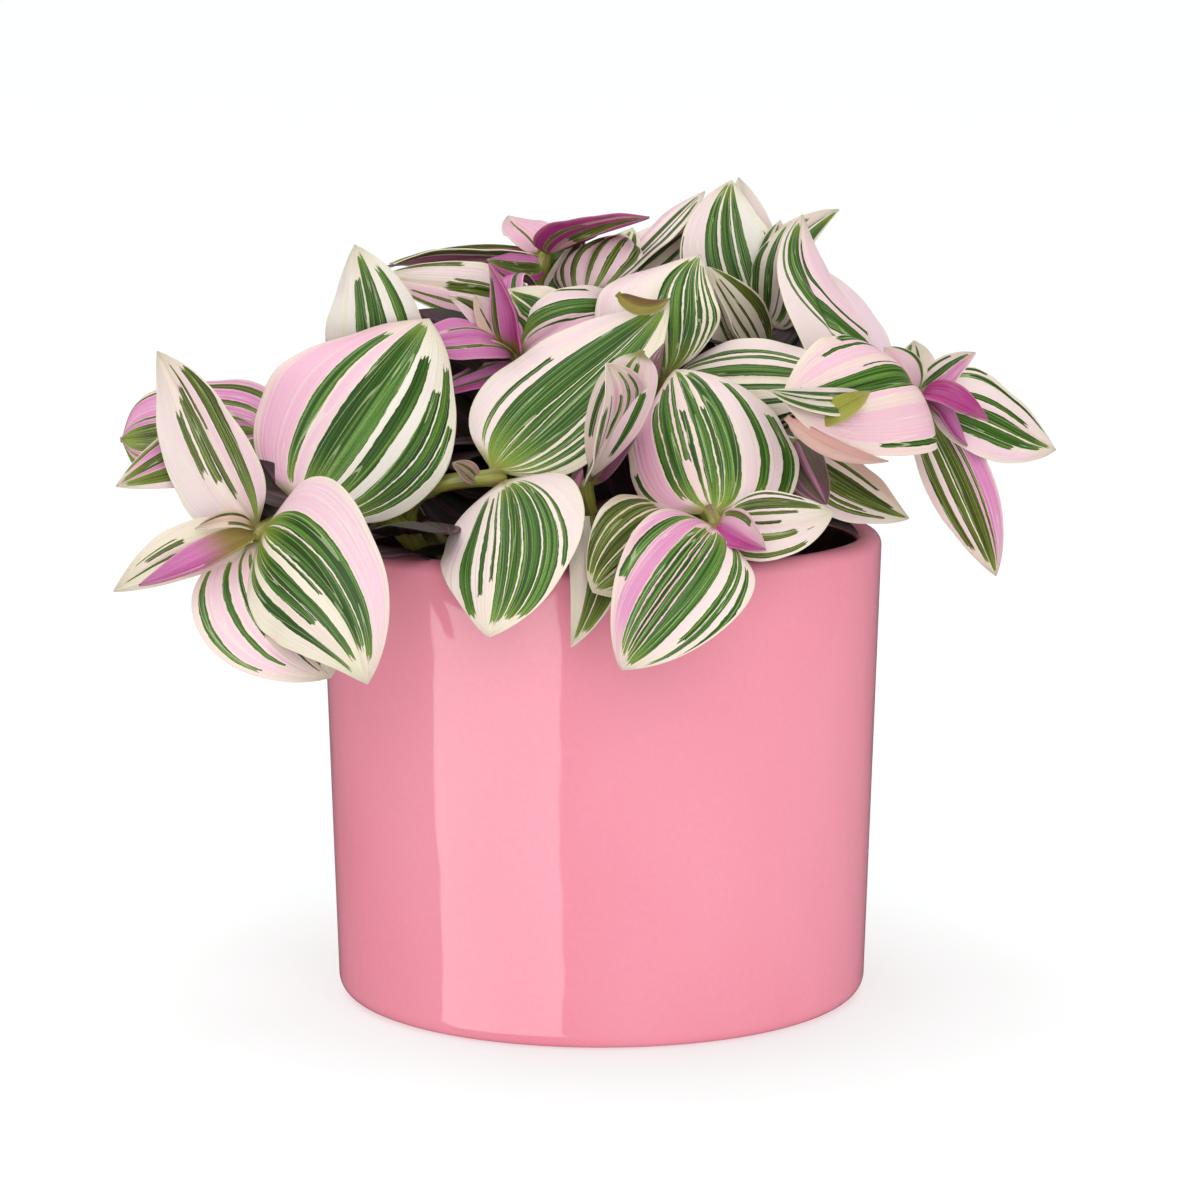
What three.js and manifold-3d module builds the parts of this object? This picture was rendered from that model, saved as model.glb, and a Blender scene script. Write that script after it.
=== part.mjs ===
// Potted tradescantia: a trailing plant with striped leaves, in a glazed round pot.
//
// Frame: millimetres, +Z up, +X to the right and +Y away from the front.
// The origin is the centre of the pot's underside.

import * as THREE from 'three';
import { mergeVertices } from 'three/addons/utils/BufferGeometryUtils.js';
import Module from 'manifold-3d';

// ---------------------------------------------------------------- driving dimensions

const POT_HEIGHT = 117;
const POT_RIM_RADIUS = 70;
const POT_FOOT_RADIUS = 66.6;
const POT_FOOT_ROUND = 4.6;
const POT_WALL = 6.4;
const POT_FLOOR = 8;
const RIM_BAND = 4;

const NURSERY_TOP = 106;
const NURSERY_TOP_RADIUS = 60.6;
const NURSERY_BASE_RADIUS = 57.6;
const NURSERY_WALL = 1.2;
const NURSERY_LIP = 1.6;
const NURSERY_LIP_HEIGHT = 3;

const SOIL_TOP = 101;
const TOUCH_GAP = 0.3;

const BUD_SINK = 1.2;

const LEAF_HALF_THICKNESS = 0.5;
const LEAF_EDGE_SHARE = 0.4; // thickness at the margin over thickness at the midrib
const LEAF_ROOT_HALF_WIDTH = 0.65;
const LEAF_TIP_HALF_WIDTH = 0.15;
const LEAF_RISE = 0.55; // how full the outline is towards the base
const LEAF_FALL = 0.85; // how slender it is towards the tip
const LEAF_SHOULDER = 0.05; // share of the length in which the base widens

// How finely the surfaces are divided.
const POT_SEGMENTS = 56;
const NURSERY_SEGMENTS = 44;
const STEM_SIDES = 8;
const STEM_STEPS = 8;
const SEAT_STEPS = 80;
const LEAF_STATIONS = [0, 0.04, 0.13, 0.28, 0.48, 0.7, 0.87, 1];
const LEAF_LANES = [-1, -0.5, 0, 0.5, 1];
const MERGE_DISTANCE = 1e-4;

// ---------------------------------------------------------------- shoots

// Each shoot rises from the soil and bends over; a further row of the same shoot is a side shoot.
// Row: radius at the start, radius at the end, four control points of the centre line.
const SHOOTS = {
  left: [
    [2.8, 2.0, [-38, -30, 98], [-44, -38, 132], [-64, -52, 134], [-81, -57.5, 123.5]],
    [2.4, 2.0, [-39, -31, 104], [-52, -26, 126], [-50, -42, 134], [-24.5, -43, 135]],
  ],
  front: [
    [2.8, 2.0, [14, -30, 98], [18, -44, 128], [24, -58, 134], [26.5, -69, 127.5]],
    [2.0, 1.6, [14, -32, 105], [6, -36, 118], [-4, -44, 122], [-3.5, -45.5, 133.5]],
  ],
  right: [
    [2.8, 2.0, [30, -4, 98], [46, -6, 140], [62, -20, 156], [76.5, -30, 152.5]],
    [2.0, 1.6, [34.5, -5, 112], [38, -20, 122], [44, -32, 130], [46.5, -35, 142]],
  ],
  middle: [
    [2.8, 1.9, [-16, -14, 98], [-24, -6, 130], [-20, -4, 150], [-21, -8, 161]],
    [2.2, 1.8, [-18.5, -11, 112], [-8, 4, 126], [-4, 8, 150], [-4, 10, 172.5]],
  ],
  tall: [
    [2.8, 1.9, [-14, 16, 98], [-20, 26, 135], [-22, 24, 165], [-14.5, 24.5, 183]],
  ],
  centre: [
    [2.8, 1.9, [8, -6, 98], [10, -16, 125], [14, -16, 145], [15.5, -14, 155]],
  ],
  top: [
    [2.8, 1.9, [22, 6, 98], [34, 8, 130], [40, 10, 150], [40, 11, 168]],
  ],
  outer: [
    [2.6, 1.9, [-34, -8, 98], [-44, -10, 120], [-54, -14, 130], [-54.5, -16, 148]],
    [2.2, 1.8, [-37, -8.5, 106.5], [-54, 2, 130], [-70, -6, 146], [-82, -16, 143]],
  ],
  rear_left: [
    [2.8, 2.0, [-22, 34, 98], [-30, 50, 138], [-40, 66, 140], [-50, 82, 124]],
  ],
  rear_right: [
    [2.8, 2.0, [26, 34, 98], [30, 50, 136], [38, 62, 142], [52, 76, 128]],
    [2.2, 1.9, [26, 36, 106], [14, 50, 124], [4, 62, 138], [0, 80, 126]],
  ],
};

// ---------------------------------------------------------------- leaves

// The leaves of each shoot: a leaf starts on the shoot, runs to its tip and looks along its face.
// Row: name, base, tip, face, width, first arch, second arch, sweep, cup and twist in degrees.
const LEAVES = {
  left: [
    ['up', [-82, -57, 127], [-106, -40, 165], [-0.55, -0.85, 0], 28, 6, 0, -1, 5, 12],
    ['out', [-84, -58.5, 125], [-115, -60, 110], [-0.15, -0.85, 0.5], 18, 5, 4, 0, -14, 0],
    ['front', [-79.5, -60, 125], [-53.5, -92.5, 93.5], [-0.2, -0.95, -0.2], 41, 12, 3, -10, -8, 0],
    ['low', [-81, -58, 120.5], [-63, -75, 92], [0.25, -0.9, 0.4], 40, 2, 0, 3, -10, -11],
    ['young', [-83, -60.5, 124], [-108, -70, 113], [0.2, -0.5, 0.8], 10, 3, 1, -3, 60, 0],
    ['large', [-70, -56.5, 129.5], [-42, -20, 171], [0.2, -0.85, 0.45], 49, 3, 13, -1, -27, 12],
    ['creep_large', [-26.5, -42, 137.5], [16.5, -17, 175], [0, -0.75, 0.65], 38, 2, 0, -2, -8, 22],
    ['creep_low', [-22, -45, 133.5], [-26, -90, 104], [-0.4, -0.8, 0.4], 37, 6, 0, -6, -14, 8],
  ],
  outer: [
    ['tall', [-54.5, -17, 151], [-60, -18, 189], [0, -0.95, 0.3], 27, 4, 7, 2, -36, 7],
    ['back', [-83, -17, 145.5], [-116, -17, 143], [-0.1, -0.5, 0.85], 36, 0, 0, 7, -18, 6],
    ['out', [-83, -19, 141], [-116, -44, 133], [0, -0.9, 0.5], 18, 8, 6, -1, -8, 2],
  ],
  tall: [
    ['long', [-17, 25, 184], [-54, 18, 181], [0, 0.1, 1], 12, 1, 3.5, 1, 30, 3],
    ['wide', [-20.5, 21, 170.5], [-55, 1, 180], [0, -0.85, 0.5], 18, 10, 4, -2, -8, -5],
    ['magenta', [-12.5, 25, 184.5], [12, 12, 194], [-0.5, 0.45, 0.75], 23, 2, 0, 3, 21, -6],
    ['rear', [-20, 27, 158], [-30, 74, 156], [-0.1, 0.3, 0.95], 31, 8, 10, 0, -20, 0],
  ],
  middle: [
    ['purple', [-23.5, -8.5, 161.5], [-46, -28, 165.5], [0, -0.55, 0.85], 15, 8, 0, 2, -16, 22],
    ['furled', [-21.5, -10, 163], [-27.5, -17, 184.5], [-0.75, -0.65, 0.1], 13, 3, 0, 6, 50, 6],
    ['arched', [-18.5, -10, 162], [7, 6, 172.5], [0, -0.9, 0.45], 18, 11, 10, 0, -14, -8],
    ['pale', [-18, -7, 162.5], [-23.5, -4, 177], [0, -0.4, 1], 20, 1.5, 5, 7, -17, 5],
    ['barred', [-5.5, 7, 174.5], [6, 30.5, 188.5], [-0.55, -0.6, 0.55], 30, 11.5, 7, 0, -48, -5],
    ['back', [-2, 13, 174.5], [26.5, 37.5, 199], [-0.85, -0.3, 0.4], 22, 0, 3.5, 2, -13, -17],
  ],
  centre: [
    ['wide', [13, -17, 156.5], [24.5, 4, 185], [0, -0.9, 0.45], 32, 12, 7, -8, -19, 22],
    ['side', [17.5, -14, 155.5], [60, -34, 155], [-0.2, -0.75, 0.6], 24, 2, 7, -1, -20, -7],
  ],
  top: [
    ['peak', [36.5, 14, 169.5], [33, 25, 202.5], [0, -0.9, 0.4], 25, 4.5, 6.5, -6, -9, 0],
    ['right', [43, 11, 167], [47.5, 9, 193], [-0.65, -0.7, 0.25], 18, 2.5, 9, 5, -7, -14],
    ['back', [41.5, 14, 168.5], [60, 20, 195.5], [0, -0.6, 0.8], 10, 3.5, 2, -7, 2, 0],
    ['bent', [39, 8, 162.5], [25, 1.5, 182], [-0.65, -0.3, 0.7], 20, 8, 3, 4, -26, 0],
    ['rear', [40, 13, 152], [52, 62, 156], [0.1, 0.3, 0.95], 31, 7, 10, 0, -20, 0],
  ],
  front: [
    ['furled', [-4, -47, 136], [1, -71.5, 165], [0.65, -0.65, 0.4], 23, 1, 8, 3, 21, 22],
    ['small', [-3, -45.5, 123], [-6, -82.5, 100.5], [-0.25, -0.75, 0.6], 14, 19, 6, -3, 12, 11],
    ['up', [26, -68.5, 130.5], [18, -24.5, 159], [0, -0.9, 0.4], 46, 1, 14, 5, -50, -1],
    ['low', [25.5, -71, 125], [4.5, -96, 97.5], [0, -1, 0.1], 31, 22, 0, 0, -8, -8],
    ['side', [29, -69.5, 127.5], [54, -71, 130.5], [0.1, -0.9, 0.4], 17, 0, 3, 3, 9, -4],
    ['young', [27.5, -71.5, 127.5], [38, -78, 122.5], [0.3, -0.95, 0.3], 10, 3, 1, 1, 70, 0],
    ['inner', [17.5, -51.5, 125], [-2, -80.5, 113], [0, -0.9, 0.45], 28, 14, 0, 0, -15, 3],
  ],
  right: [
    ['large', [74, -31, 154], [42, -73.5, 156.5], [0, -0.8, 0.55], 39, 21, 0, -4, -28, 8],
    ['out', [79, -29, 153], [111, -20, 139], [0.1, -0.75, 0.65], 23, 9, 1, 0, -19, -4],
    ['low', [77, -30, 149.5], [96, -19.5, 108], [-0.4, -0.9, 0.2], 16, 5, 7, -4, -15, 6],
    ['young', [77.5, -31.5, 154.5], [92.5, -41.5, 148.5], [-0.1, -0.6, 0.85], 10, 5.5, 4, 2, 60, -3],
    ['tall', [63, -17, 153.5], [50, 6, 195], [0.4, -0.7, 0.6], 26, 13, 0, -6, -8, -17],
    ['inner', [49, -36, 140.5], [74.5, -31, 123.5], [0.15, -0.65, 0.7], 28, 0, 0, -2, -21, 14],
    ['under', [47.5, -36, 145.5], [54, -42.5, 128.5], [-0.25, 0.7, 0.7], 13, -6, -3, 0, -34, 0],
  ],
  rear_left: [
    ['low', [-50, 84, 125.5], [-58, 104, 86], [-0.4, 0.85, 0.3], 34, 8, 6, 0, -25, 0],
    ['out', [-52.5, 81, 125.5], [-94, 72, 134], [-0.2, 0.5, 0.85], 27, 6, 8, 0, -20, 0],
  ],
  rear_right: [
    ['low', [53, 78, 130], [64, 100, 92], [0.4, 0.85, 0.3], 32, 8, 6, 0, -25, 0],
    ['out', [54.5, 74.5, 129.5], [88, 60, 146], [0.3, 0.5, 0.8], 27, 7, 7, 0, -20, 0],
    ['side', [0, 82.5, 124.5], [2, 104, 86], [0, 0.95, 0.3], 35, 9, 6, 0, -25, 0],
  ],
};

// The smallest leaves are still joined to their shoot's end, so they are part of the stem's solid.
const BUD_LEAVES = {
  tall: [
    ['small', [-16.5, 26.5, 185.5], [-24, 35, 193], [0.4, -0.7, 0.55], 11, 5, 0, 0, 4, 0],
    ['dark', [-13, 21.5, 180.5], [-29, 18, 183], [0, -0.85, 0.5], 8, 2, 2, -2, 4, 0],
  ],
  middle: [
    ['low', [-23, -10, 159.5], [-42, -21, 152], [-0.2, -0.4, 0.9], 13, 0, 3, -4, 4, 0],
    ['curl', [-21.5, -5.5, 164.5], [-16, 15, 176], [-0.35, -0.45, 0.8], 9, 8, 20, -2, -20, 0],
  ],
  right: [
    ['sheath', [78, -32.5, 151.5], [88, -37, 142], [0.5, -0.4, 0.75], 8, 5, 0, 2, 37, 2],
    ['small', [77.5, -29, 155.5], [90, -32, 164], [0, -0.65, 0.75], 10, 0, 2, 1, 28, 0],
  ],
};

function vector([x, y, z]) {
  return new THREE.Vector3(x, y, z);
}

function readLeaf([name, base, tip, face, width, arch1, arch2, sweep, cup, twist]) {
  return {
    name,
    base: vector(base),
    tip: vector(tip),
    face: vector(face),
    width,
    arch1,
    arch2,
    sweep,
    bend: THREE.MathUtils.degToRad(cup),
    twist: THREE.MathUtils.degToRad(twist),
  };
}

// ---------------------------------------------------------------- materials

function finish(colour, roughness) {
  return new THREE.MeshStandardMaterial({ color: colour, roughness, metalness: 0 });
}

const PINK_GLAZE = finish(0xf59cb0, 0.15);
const DARK_PLASTIC = finish(0x2a2320, 0.5);
const DARK_SOIL = finish(0x33241a, 0.95);
const STEM_GREEN = finish(0x8f9a4a, 0.45);
const LEAF_STRIPED = finish(0xb9c49a, 0.4);

// ---------------------------------------------------------------- solids

const wasm = await Module();
wasm.setup();

function withoutDoubles(geometry) {
  const bare = geometry.clone();
  bare.deleteAttribute('normal');
  bare.deleteAttribute('uv');
  return mergeVertices(bare, MERGE_DISTANCE);
}

function toSolid(geometry) {
  const merged = withoutDoubles(geometry);
  return new wasm.Manifold(new wasm.Mesh({
    numProp: 3,
    vertProperties: new Float32Array(merged.attributes.position.array),
    triVerts: new Uint32Array(merged.index.array),
  }));
}

function toGeometry(solid) {
  const mesh = solid.getMesh();
  const geometry = new THREE.BufferGeometry();
  geometry.setAttribute('position', new THREE.BufferAttribute(mesh.vertProperties, 3));
  geometry.setIndex(new THREE.BufferAttribute(mesh.triVerts, 1));
  geometry.computeVertexNormals();
  return geometry;
}

function meshOf(points, triangles) {
  const geometry = new THREE.BufferGeometry().setFromPoints(points);
  geometry.setIndex(triangles);
  geometry.computeVertexNormals();
  return geometry;
}

// A body turned about Z, from a profile of [radius, height] that starts and ends on the axis.
function turned(profile, segments) {
  const outline = profile.map(([radius, height]) => new THREE.Vector2(radius, height));
  const geometry = new THREE.LatheGeometry(outline, segments);
  geometry.rotateX(Math.PI / 2);
  return withoutDoubles(geometry);
}

// Points on a quarter circle of a profile, from one angle to another, in degrees.
function roundCorner(radius, height, round, from, to, steps) {
  return Array.from({ length: steps + 1 }, (_, step) => {
    const angle = THREE.MathUtils.degToRad(THREE.MathUtils.lerp(from, to, step / steps));
    return [radius + round * Math.cos(angle), height + round * Math.sin(angle)];
  });
}

// ---------------------------------------------------------------- pot, nursery pot and soil

function potGeometry() {
  const lip = POT_WALL / 2;
  const foot = POT_FOOT_RADIUS - POT_FOOT_ROUND;
  const floorRadius = POT_FOOT_RADIUS - POT_WALL;
  const floorRound = POT_WALL / 4;
  return turned([
    [0, 0],
    ...roundCorner(foot, POT_FOOT_ROUND, POT_FOOT_ROUND, -90, 0, 3),
    [POT_RIM_RADIUS, POT_HEIGHT - RIM_BAND],
    ...roundCorner(POT_RIM_RADIUS - lip, POT_HEIGHT - lip, lip, 0, 180, 5),
    [POT_RIM_RADIUS - POT_WALL, POT_HEIGHT - RIM_BAND],
    [floorRadius, POT_FLOOR + floorRound],
    [floorRadius - floorRound, POT_FLOOR],
    [0, POT_FLOOR],
  ], POT_SEGMENTS);
}

function nurseryPotGeometry() {
  const base = POT_FLOOR + TOUCH_GAP;
  const lipBase = NURSERY_TOP - NURSERY_LIP_HEIGHT;
  const lipRadius = NURSERY_TOP_RADIUS + NURSERY_LIP;
  return turned([
    [0, base],
    [NURSERY_BASE_RADIUS, base],
    [NURSERY_TOP_RADIUS, lipBase - NURSERY_LIP],
    [lipRadius, lipBase],
    [lipRadius, NURSERY_TOP],
    [NURSERY_TOP_RADIUS - NURSERY_WALL, NURSERY_TOP],
    [NURSERY_BASE_RADIUS - NURSERY_WALL, base + NURSERY_WALL],
    [0, base + NURSERY_WALL],
  ], NURSERY_SEGMENTS);
}

function soilGeometry() {
  const floor = POT_FLOOR + NURSERY_WALL + 2 * TOUCH_GAP;
  const clearance = NURSERY_WALL + 2 * TOUCH_GAP;
  return turned([
    [0, floor],
    [NURSERY_BASE_RADIUS - clearance, floor],
    [NURSERY_TOP_RADIUS - clearance, SOIL_TOP],
    [0, SOIL_TOP],
  ], NURSERY_SEGMENTS);
}

// Everything up to just above the soil: the stems are cut off flat on it.
function groundGeometry() {
  const top = SOIL_TOP + TOUCH_GAP;
  return turned([[0, 0], [POT_RIM_RADIUS, 0], [POT_RIM_RADIUS, top], [0, top]], NURSERY_SEGMENTS);
}

// ---------------------------------------------------------------- stems

function centreLine(row) {
  const [, , a, b, c, d] = row;
  return new THREE.CubicBezierCurve3(vector(a), vector(b), vector(c), vector(d));
}

// Rings of points along the centre line, closed by a flat start and a round tip.
function stemGeometry(row) {
  const [startRadius, endRadius] = row;
  const curve = centreLine(row);
  const points = [];
  let across = new THREE.Vector3(1, 0, 0);
  const addRing = (centre, along, radius) => {
    across = across.clone().addScaledVector(along, -across.dot(along)).normalize();
    const third = new THREE.Vector3().crossVectors(along, across);
    for (let side = 0; side < STEM_SIDES; side += 1) {
      const angle = (2 * Math.PI * side) / STEM_SIDES;
      points.push(centre.clone()
        .addScaledVector(across, radius * Math.cos(angle))
        .addScaledVector(third, radius * Math.sin(angle)));
    }
  };
  for (let step = 0; step <= STEM_STEPS; step += 1) {
    const t = step / STEM_STEPS;
    addRing(curve.getPoint(t), curve.getTangent(t), THREE.MathUtils.lerp(startRadius, endRadius, t));
  }
  const end = curve.getPoint(1);
  const onward = curve.getTangent(1);
  addRing(end.clone().addScaledVector(onward, endRadius * Math.SQRT1_2), onward, endRadius * Math.SQRT1_2);
  const start = points.length;
  const tip = start + 1;
  points.push(curve.getPoint(0), end.clone().addScaledVector(onward, endRadius));
  const lastRing = start - STEM_SIDES;
  const triangles = [];
  for (let side = 0; side < STEM_SIDES; side += 1) {
    const next = (side + 1) % STEM_SIDES;
    for (let low = 0; low < lastRing; low += STEM_SIDES) {
      const high = low + STEM_SIDES;
      triangles.push(low + side, low + next, high + next);
      triangles.push(low + side, high + next, high + side);
    }
    triangles.push(start, next, side);
    triangles.push(tip, lastRing + side, lastRing + next);
  }
  return meshOf(points, triangles);
}

// ---------------------------------------------------------------- leaves as solids

// Half the width at u along the leaf: full towards the base and drawn out to a point.
function halfWidth(width, u) {
  const widest = LEAF_RISE / (LEAF_RISE + LEAF_FALL);
  const rise = (u / widest) ** LEAF_RISE;
  const fall = ((1 - u) / (1 - widest)) ** LEAF_FALL;
  const least = LEAF_ROOT_HALF_WIDTH * (1 - u) + LEAF_TIP_HALF_WIDTH;
  return Math.max(0.5 * width * rise * fall * Math.tanh(u / LEAF_SHOULDER), least);
}

// The midrib is a cubic curve that arches towards the face and sweeps sideways.
function midrib(base, leaf) {
  const chord = leaf.tip.clone().sub(base);
  const direction = chord.clone().normalize();
  const up = leaf.face.clone().addScaledVector(direction, -leaf.face.dot(direction)).normalize();
  const side = new THREE.Vector3().crossVectors(direction, up);
  const control = (share, arch) => base.clone()
    .addScaledVector(chord, share)
    .addScaledVector(up, arch)
    .addScaledVector(side, leaf.sweep);
  const first = control(1 / 3, leaf.arch1);
  const second = control(2 / 3, leaf.arch2);
  return { curve: new THREE.CubicBezierCurve3(base, first, second, leaf.tip), side };
}

// The base is moved along the line from the shoot's axis until it stands on the shoot's skin.
function seatedBase(leaf, shoot, gap) {
  let seat = { room: Infinity };
  for (const row of SHOOTS[shoot]) {
    const curve = centreLine(row);
    for (let step = 0; step <= SEAT_STEPS; step += 1) {
      const t = step / SEAT_STEPS;
      const axis = curve.getPoint(t);
      const radius = THREE.MathUtils.lerp(row[0], row[1], t);
      const room = axis.distanceTo(leaf.base) - radius;
      if (room < seat.room) seat = { axis, radius, room };
    }
  }
  const outward = leaf.base.clone().sub(seat.axis).normalize();
  const rootReach = LEAF_ROOT_HALF_WIDTH * Math.abs(midrib(leaf.base, leaf).side.dot(outward));
  return seat.axis.clone().addScaledVector(outward, seat.radius + gap + rootReach);
}

// Points of one face of the leaf, at every station u and lane v: each cross-section is an arc.
function leafFace(leaf, base, halfThickness) {
  const { curve, side } = midrib(base, leaf);
  return LEAF_STATIONS.flatMap((u) => {
    const along = curve.getTangent(u);
    const across = side.clone().addScaledVector(along, -side.dot(along)).normalize();
    across.applyAxisAngle(along, -leaf.twist * u);
    const normal = new THREE.Vector3().crossVectors(across, along);
    return LEAF_LANES.map((v) => {
      const lift = halfThickness * (LEAF_EDGE_SHARE + (1 - LEAF_EDGE_SHARE) * (1 - v ** 4));
      const angle = (leaf.bend || 0.01) * v;
      const arcRadius = halfWidth(leaf.width, u) / (leaf.bend || 0.01);
      return curve.getPoint(u)
        .addScaledVector(across, (arcRadius - lift) * Math.sin(angle))
        .addScaledVector(normal, arcRadius - (arcRadius - lift) * Math.cos(angle));
    });
  });
}

// Both faces of the leaf, joined around the margin.
function leafGeometry(leaf, shoot, gap) {
  const base = seatedBase(leaf, shoot, gap);
  const upper = leafFace(leaf, base, LEAF_HALF_THICKNESS);
  const lower = leafFace(leaf, base, -LEAF_HALF_THICKNESS);
  const below = upper.length;
  const lanes = LEAF_LANES.length;
  const lastStation = LEAF_STATIONS.length - 1;
  const lastLane = lanes - 1;
  const at = (station, lane) => station * lanes + lane;
  const triangles = [];
  for (let i = 0; i < lastStation; i += 1) {
    for (let j = 0; j < lastLane; j += 1) {
      const [a, b, c, d] = [at(i, j), at(i + 1, j), at(i + 1, j + 1), at(i, j + 1)];
      triangles.push(a, d, c, a, c, b);
      triangles.push(below + a, below + c, below + d, below + a, below + b, below + c);
    }
  }
  const margin = [];
  for (let i = 0; i < lastStation; i += 1) margin.push(at(i, 0));
  for (let j = 0; j < lastLane; j += 1) margin.push(at(lastStation, j));
  for (let i = lastStation; i > 0; i -= 1) margin.push(at(i, lastLane));
  for (let j = lastLane; j > 0; j -= 1) margin.push(at(0, j));
  margin.forEach((here, k) => {
    const next = margin[(k + 1) % margin.length];
    triangles.push(here, next, below + next, here, below + next, below + here);
  });
  return meshOf([...upper, ...lower], triangles);
}

// ---------------------------------------------------------------- assembly

const group = new THREE.Group();

function addPiece(name, geometry, material) {
  const mesh = new THREE.Mesh(geometry, material);
  mesh.name = name;
  group.add(mesh);
}

addPiece('pot', potGeometry(), PINK_GLAZE);
addPiece('nursery_pot', nurseryPotGeometry(), DARK_PLASTIC);
addPiece('potting_soil', soilGeometry(), DARK_SOIL);

const ground = toSolid(groundGeometry());
for (const [shoot, rows] of Object.entries(SHOOTS)) {
  const buds = (BUD_LEAVES[shoot] ?? []).map((row) => leafGeometry(readLeaf(row), shoot, -BUD_SINK));
  const solids = [...rows.map(stemGeometry), ...buds].map(toSolid);
  const joined = solids.reduce((sum, solid) => sum.add(solid));
  addPiece(`stem_${shoot}`, toGeometry(joined.subtract(ground)), STEM_GREEN);
}

for (const [shoot, rows] of Object.entries(LEAVES)) {
  for (const row of rows) {
    const leaf = readLeaf(row);
    addPiece(`leaf_${shoot}_${leaf.name}`, leafGeometry(leaf, shoot, TOUCH_GAP), LEAF_STRIPED);
  }
}

export default group;
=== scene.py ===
"""A potted tradescantia: striped leaves on trailing shoots, in a glazed pink flower pot.

Laid out as an add-on: each group of pieces has an operator, and the sizes and colours are
properties of the scene. Metres, +Z up, +X to the right, +Y away from the front. The layout of
the shoots and leaves is typed in millimetres.
"""

from functools import partial
from math import cos, radians, sin

import bpy
import numpy as np
from bpy.props import (
    FloatProperty,
    FloatVectorProperty,
    IntProperty,
    PointerProperty,
)
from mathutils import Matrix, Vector


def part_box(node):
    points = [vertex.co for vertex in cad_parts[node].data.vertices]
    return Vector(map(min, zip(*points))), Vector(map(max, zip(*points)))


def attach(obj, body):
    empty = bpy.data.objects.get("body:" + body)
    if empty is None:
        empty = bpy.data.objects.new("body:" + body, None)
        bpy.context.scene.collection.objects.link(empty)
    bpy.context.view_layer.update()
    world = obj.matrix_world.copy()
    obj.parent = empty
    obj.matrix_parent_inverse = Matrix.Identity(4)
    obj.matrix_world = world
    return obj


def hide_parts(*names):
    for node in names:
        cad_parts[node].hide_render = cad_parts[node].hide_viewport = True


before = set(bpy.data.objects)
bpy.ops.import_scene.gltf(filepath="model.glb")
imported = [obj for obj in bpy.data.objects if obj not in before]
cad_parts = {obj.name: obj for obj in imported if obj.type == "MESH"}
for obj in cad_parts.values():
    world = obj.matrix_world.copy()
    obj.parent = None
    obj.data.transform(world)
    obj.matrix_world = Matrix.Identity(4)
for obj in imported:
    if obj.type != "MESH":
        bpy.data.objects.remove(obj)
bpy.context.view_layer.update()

bl_info = {
    "name": "Potted tradescantia",
    "version": (1, 0, 0),
    "blender": (4, 5, 0),
    "location": "3D View > Sidebar > Plant",
    "description": "Builds a striped tradescantia in a glazed pot",
    "category": "Add Mesh",
}

MM = 0.001

# ------------------------------------------------------------------ layout of the plant

# Row: radius at the start, radius at the end, four control points of the centre line.
SHOOTS = {
    "left": [
        (2.8, 2.0, (-38, -30, 98), (-44, -38, 132), (-64, -52, 134), (-81, -57.5, 123.5)),
        (2.4, 2.0, (-39, -31, 104), (-52, -26, 126), (-50, -42, 134), (-24.5, -43, 135)),
    ],
    "front": [
        (2.8, 2.0, (14, -30, 98), (18, -44, 128), (24, -58, 134), (26.5, -69, 127.5)),
        (2.0, 1.6, (14, -32, 105), (6, -36, 118), (-4, -44, 122), (-3.5, -45.5, 133.5)),
    ],
    "right": [
        (2.8, 2.0, (30, -4, 98), (46, -6, 140), (62, -20, 156), (76.5, -30, 152.5)),
        (2.0, 1.6, (34.5, -5, 112), (38, -20, 122), (44, -32, 130), (46.5, -35, 142)),
    ],
    "middle": [
        (2.8, 1.9, (-16, -14, 98), (-24, -6, 130), (-20, -4, 150), (-21, -8, 161)),
        (2.2, 1.8, (-18.5, -11, 112), (-8, 4, 126), (-4, 8, 150), (-4, 10, 172.5)),
    ],
    "tall": [
        (2.8, 1.9, (-14, 16, 98), (-20, 26, 135), (-22, 24, 165), (-14.5, 24.5, 183)),
    ],
    "centre": [
        (2.8, 1.9, (8, -6, 98), (10, -16, 125), (14, -16, 145), (15.5, -14, 155)),
    ],
    "top": [
        (2.8, 1.9, (22, 6, 98), (34, 8, 130), (40, 10, 150), (40, 11, 168)),
    ],
    "outer": [
        (2.6, 1.9, (-34, -8, 98), (-44, -10, 120), (-54, -14, 130), (-54.5, -16, 148)),
        (2.2, 1.8, (-37, -8.5, 106.5), (-54, 2, 130), (-70, -6, 146), (-82, -16, 143)),
    ],
    "rear_left": [
        (2.8, 2.0, (-22, 34, 98), (-30, 50, 138), (-40, 66, 140), (-50, 82, 124)),
    ],
    "rear_right": [
        (2.8, 2.0, (26, 34, 98), (30, 50, 136), (38, 62, 142), (52, 76, 128)),
        (2.2, 1.9, (26, 36, 106), (14, 50, 124), (4, 62, 138), (0, 80, 126)),
    ],
}

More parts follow.
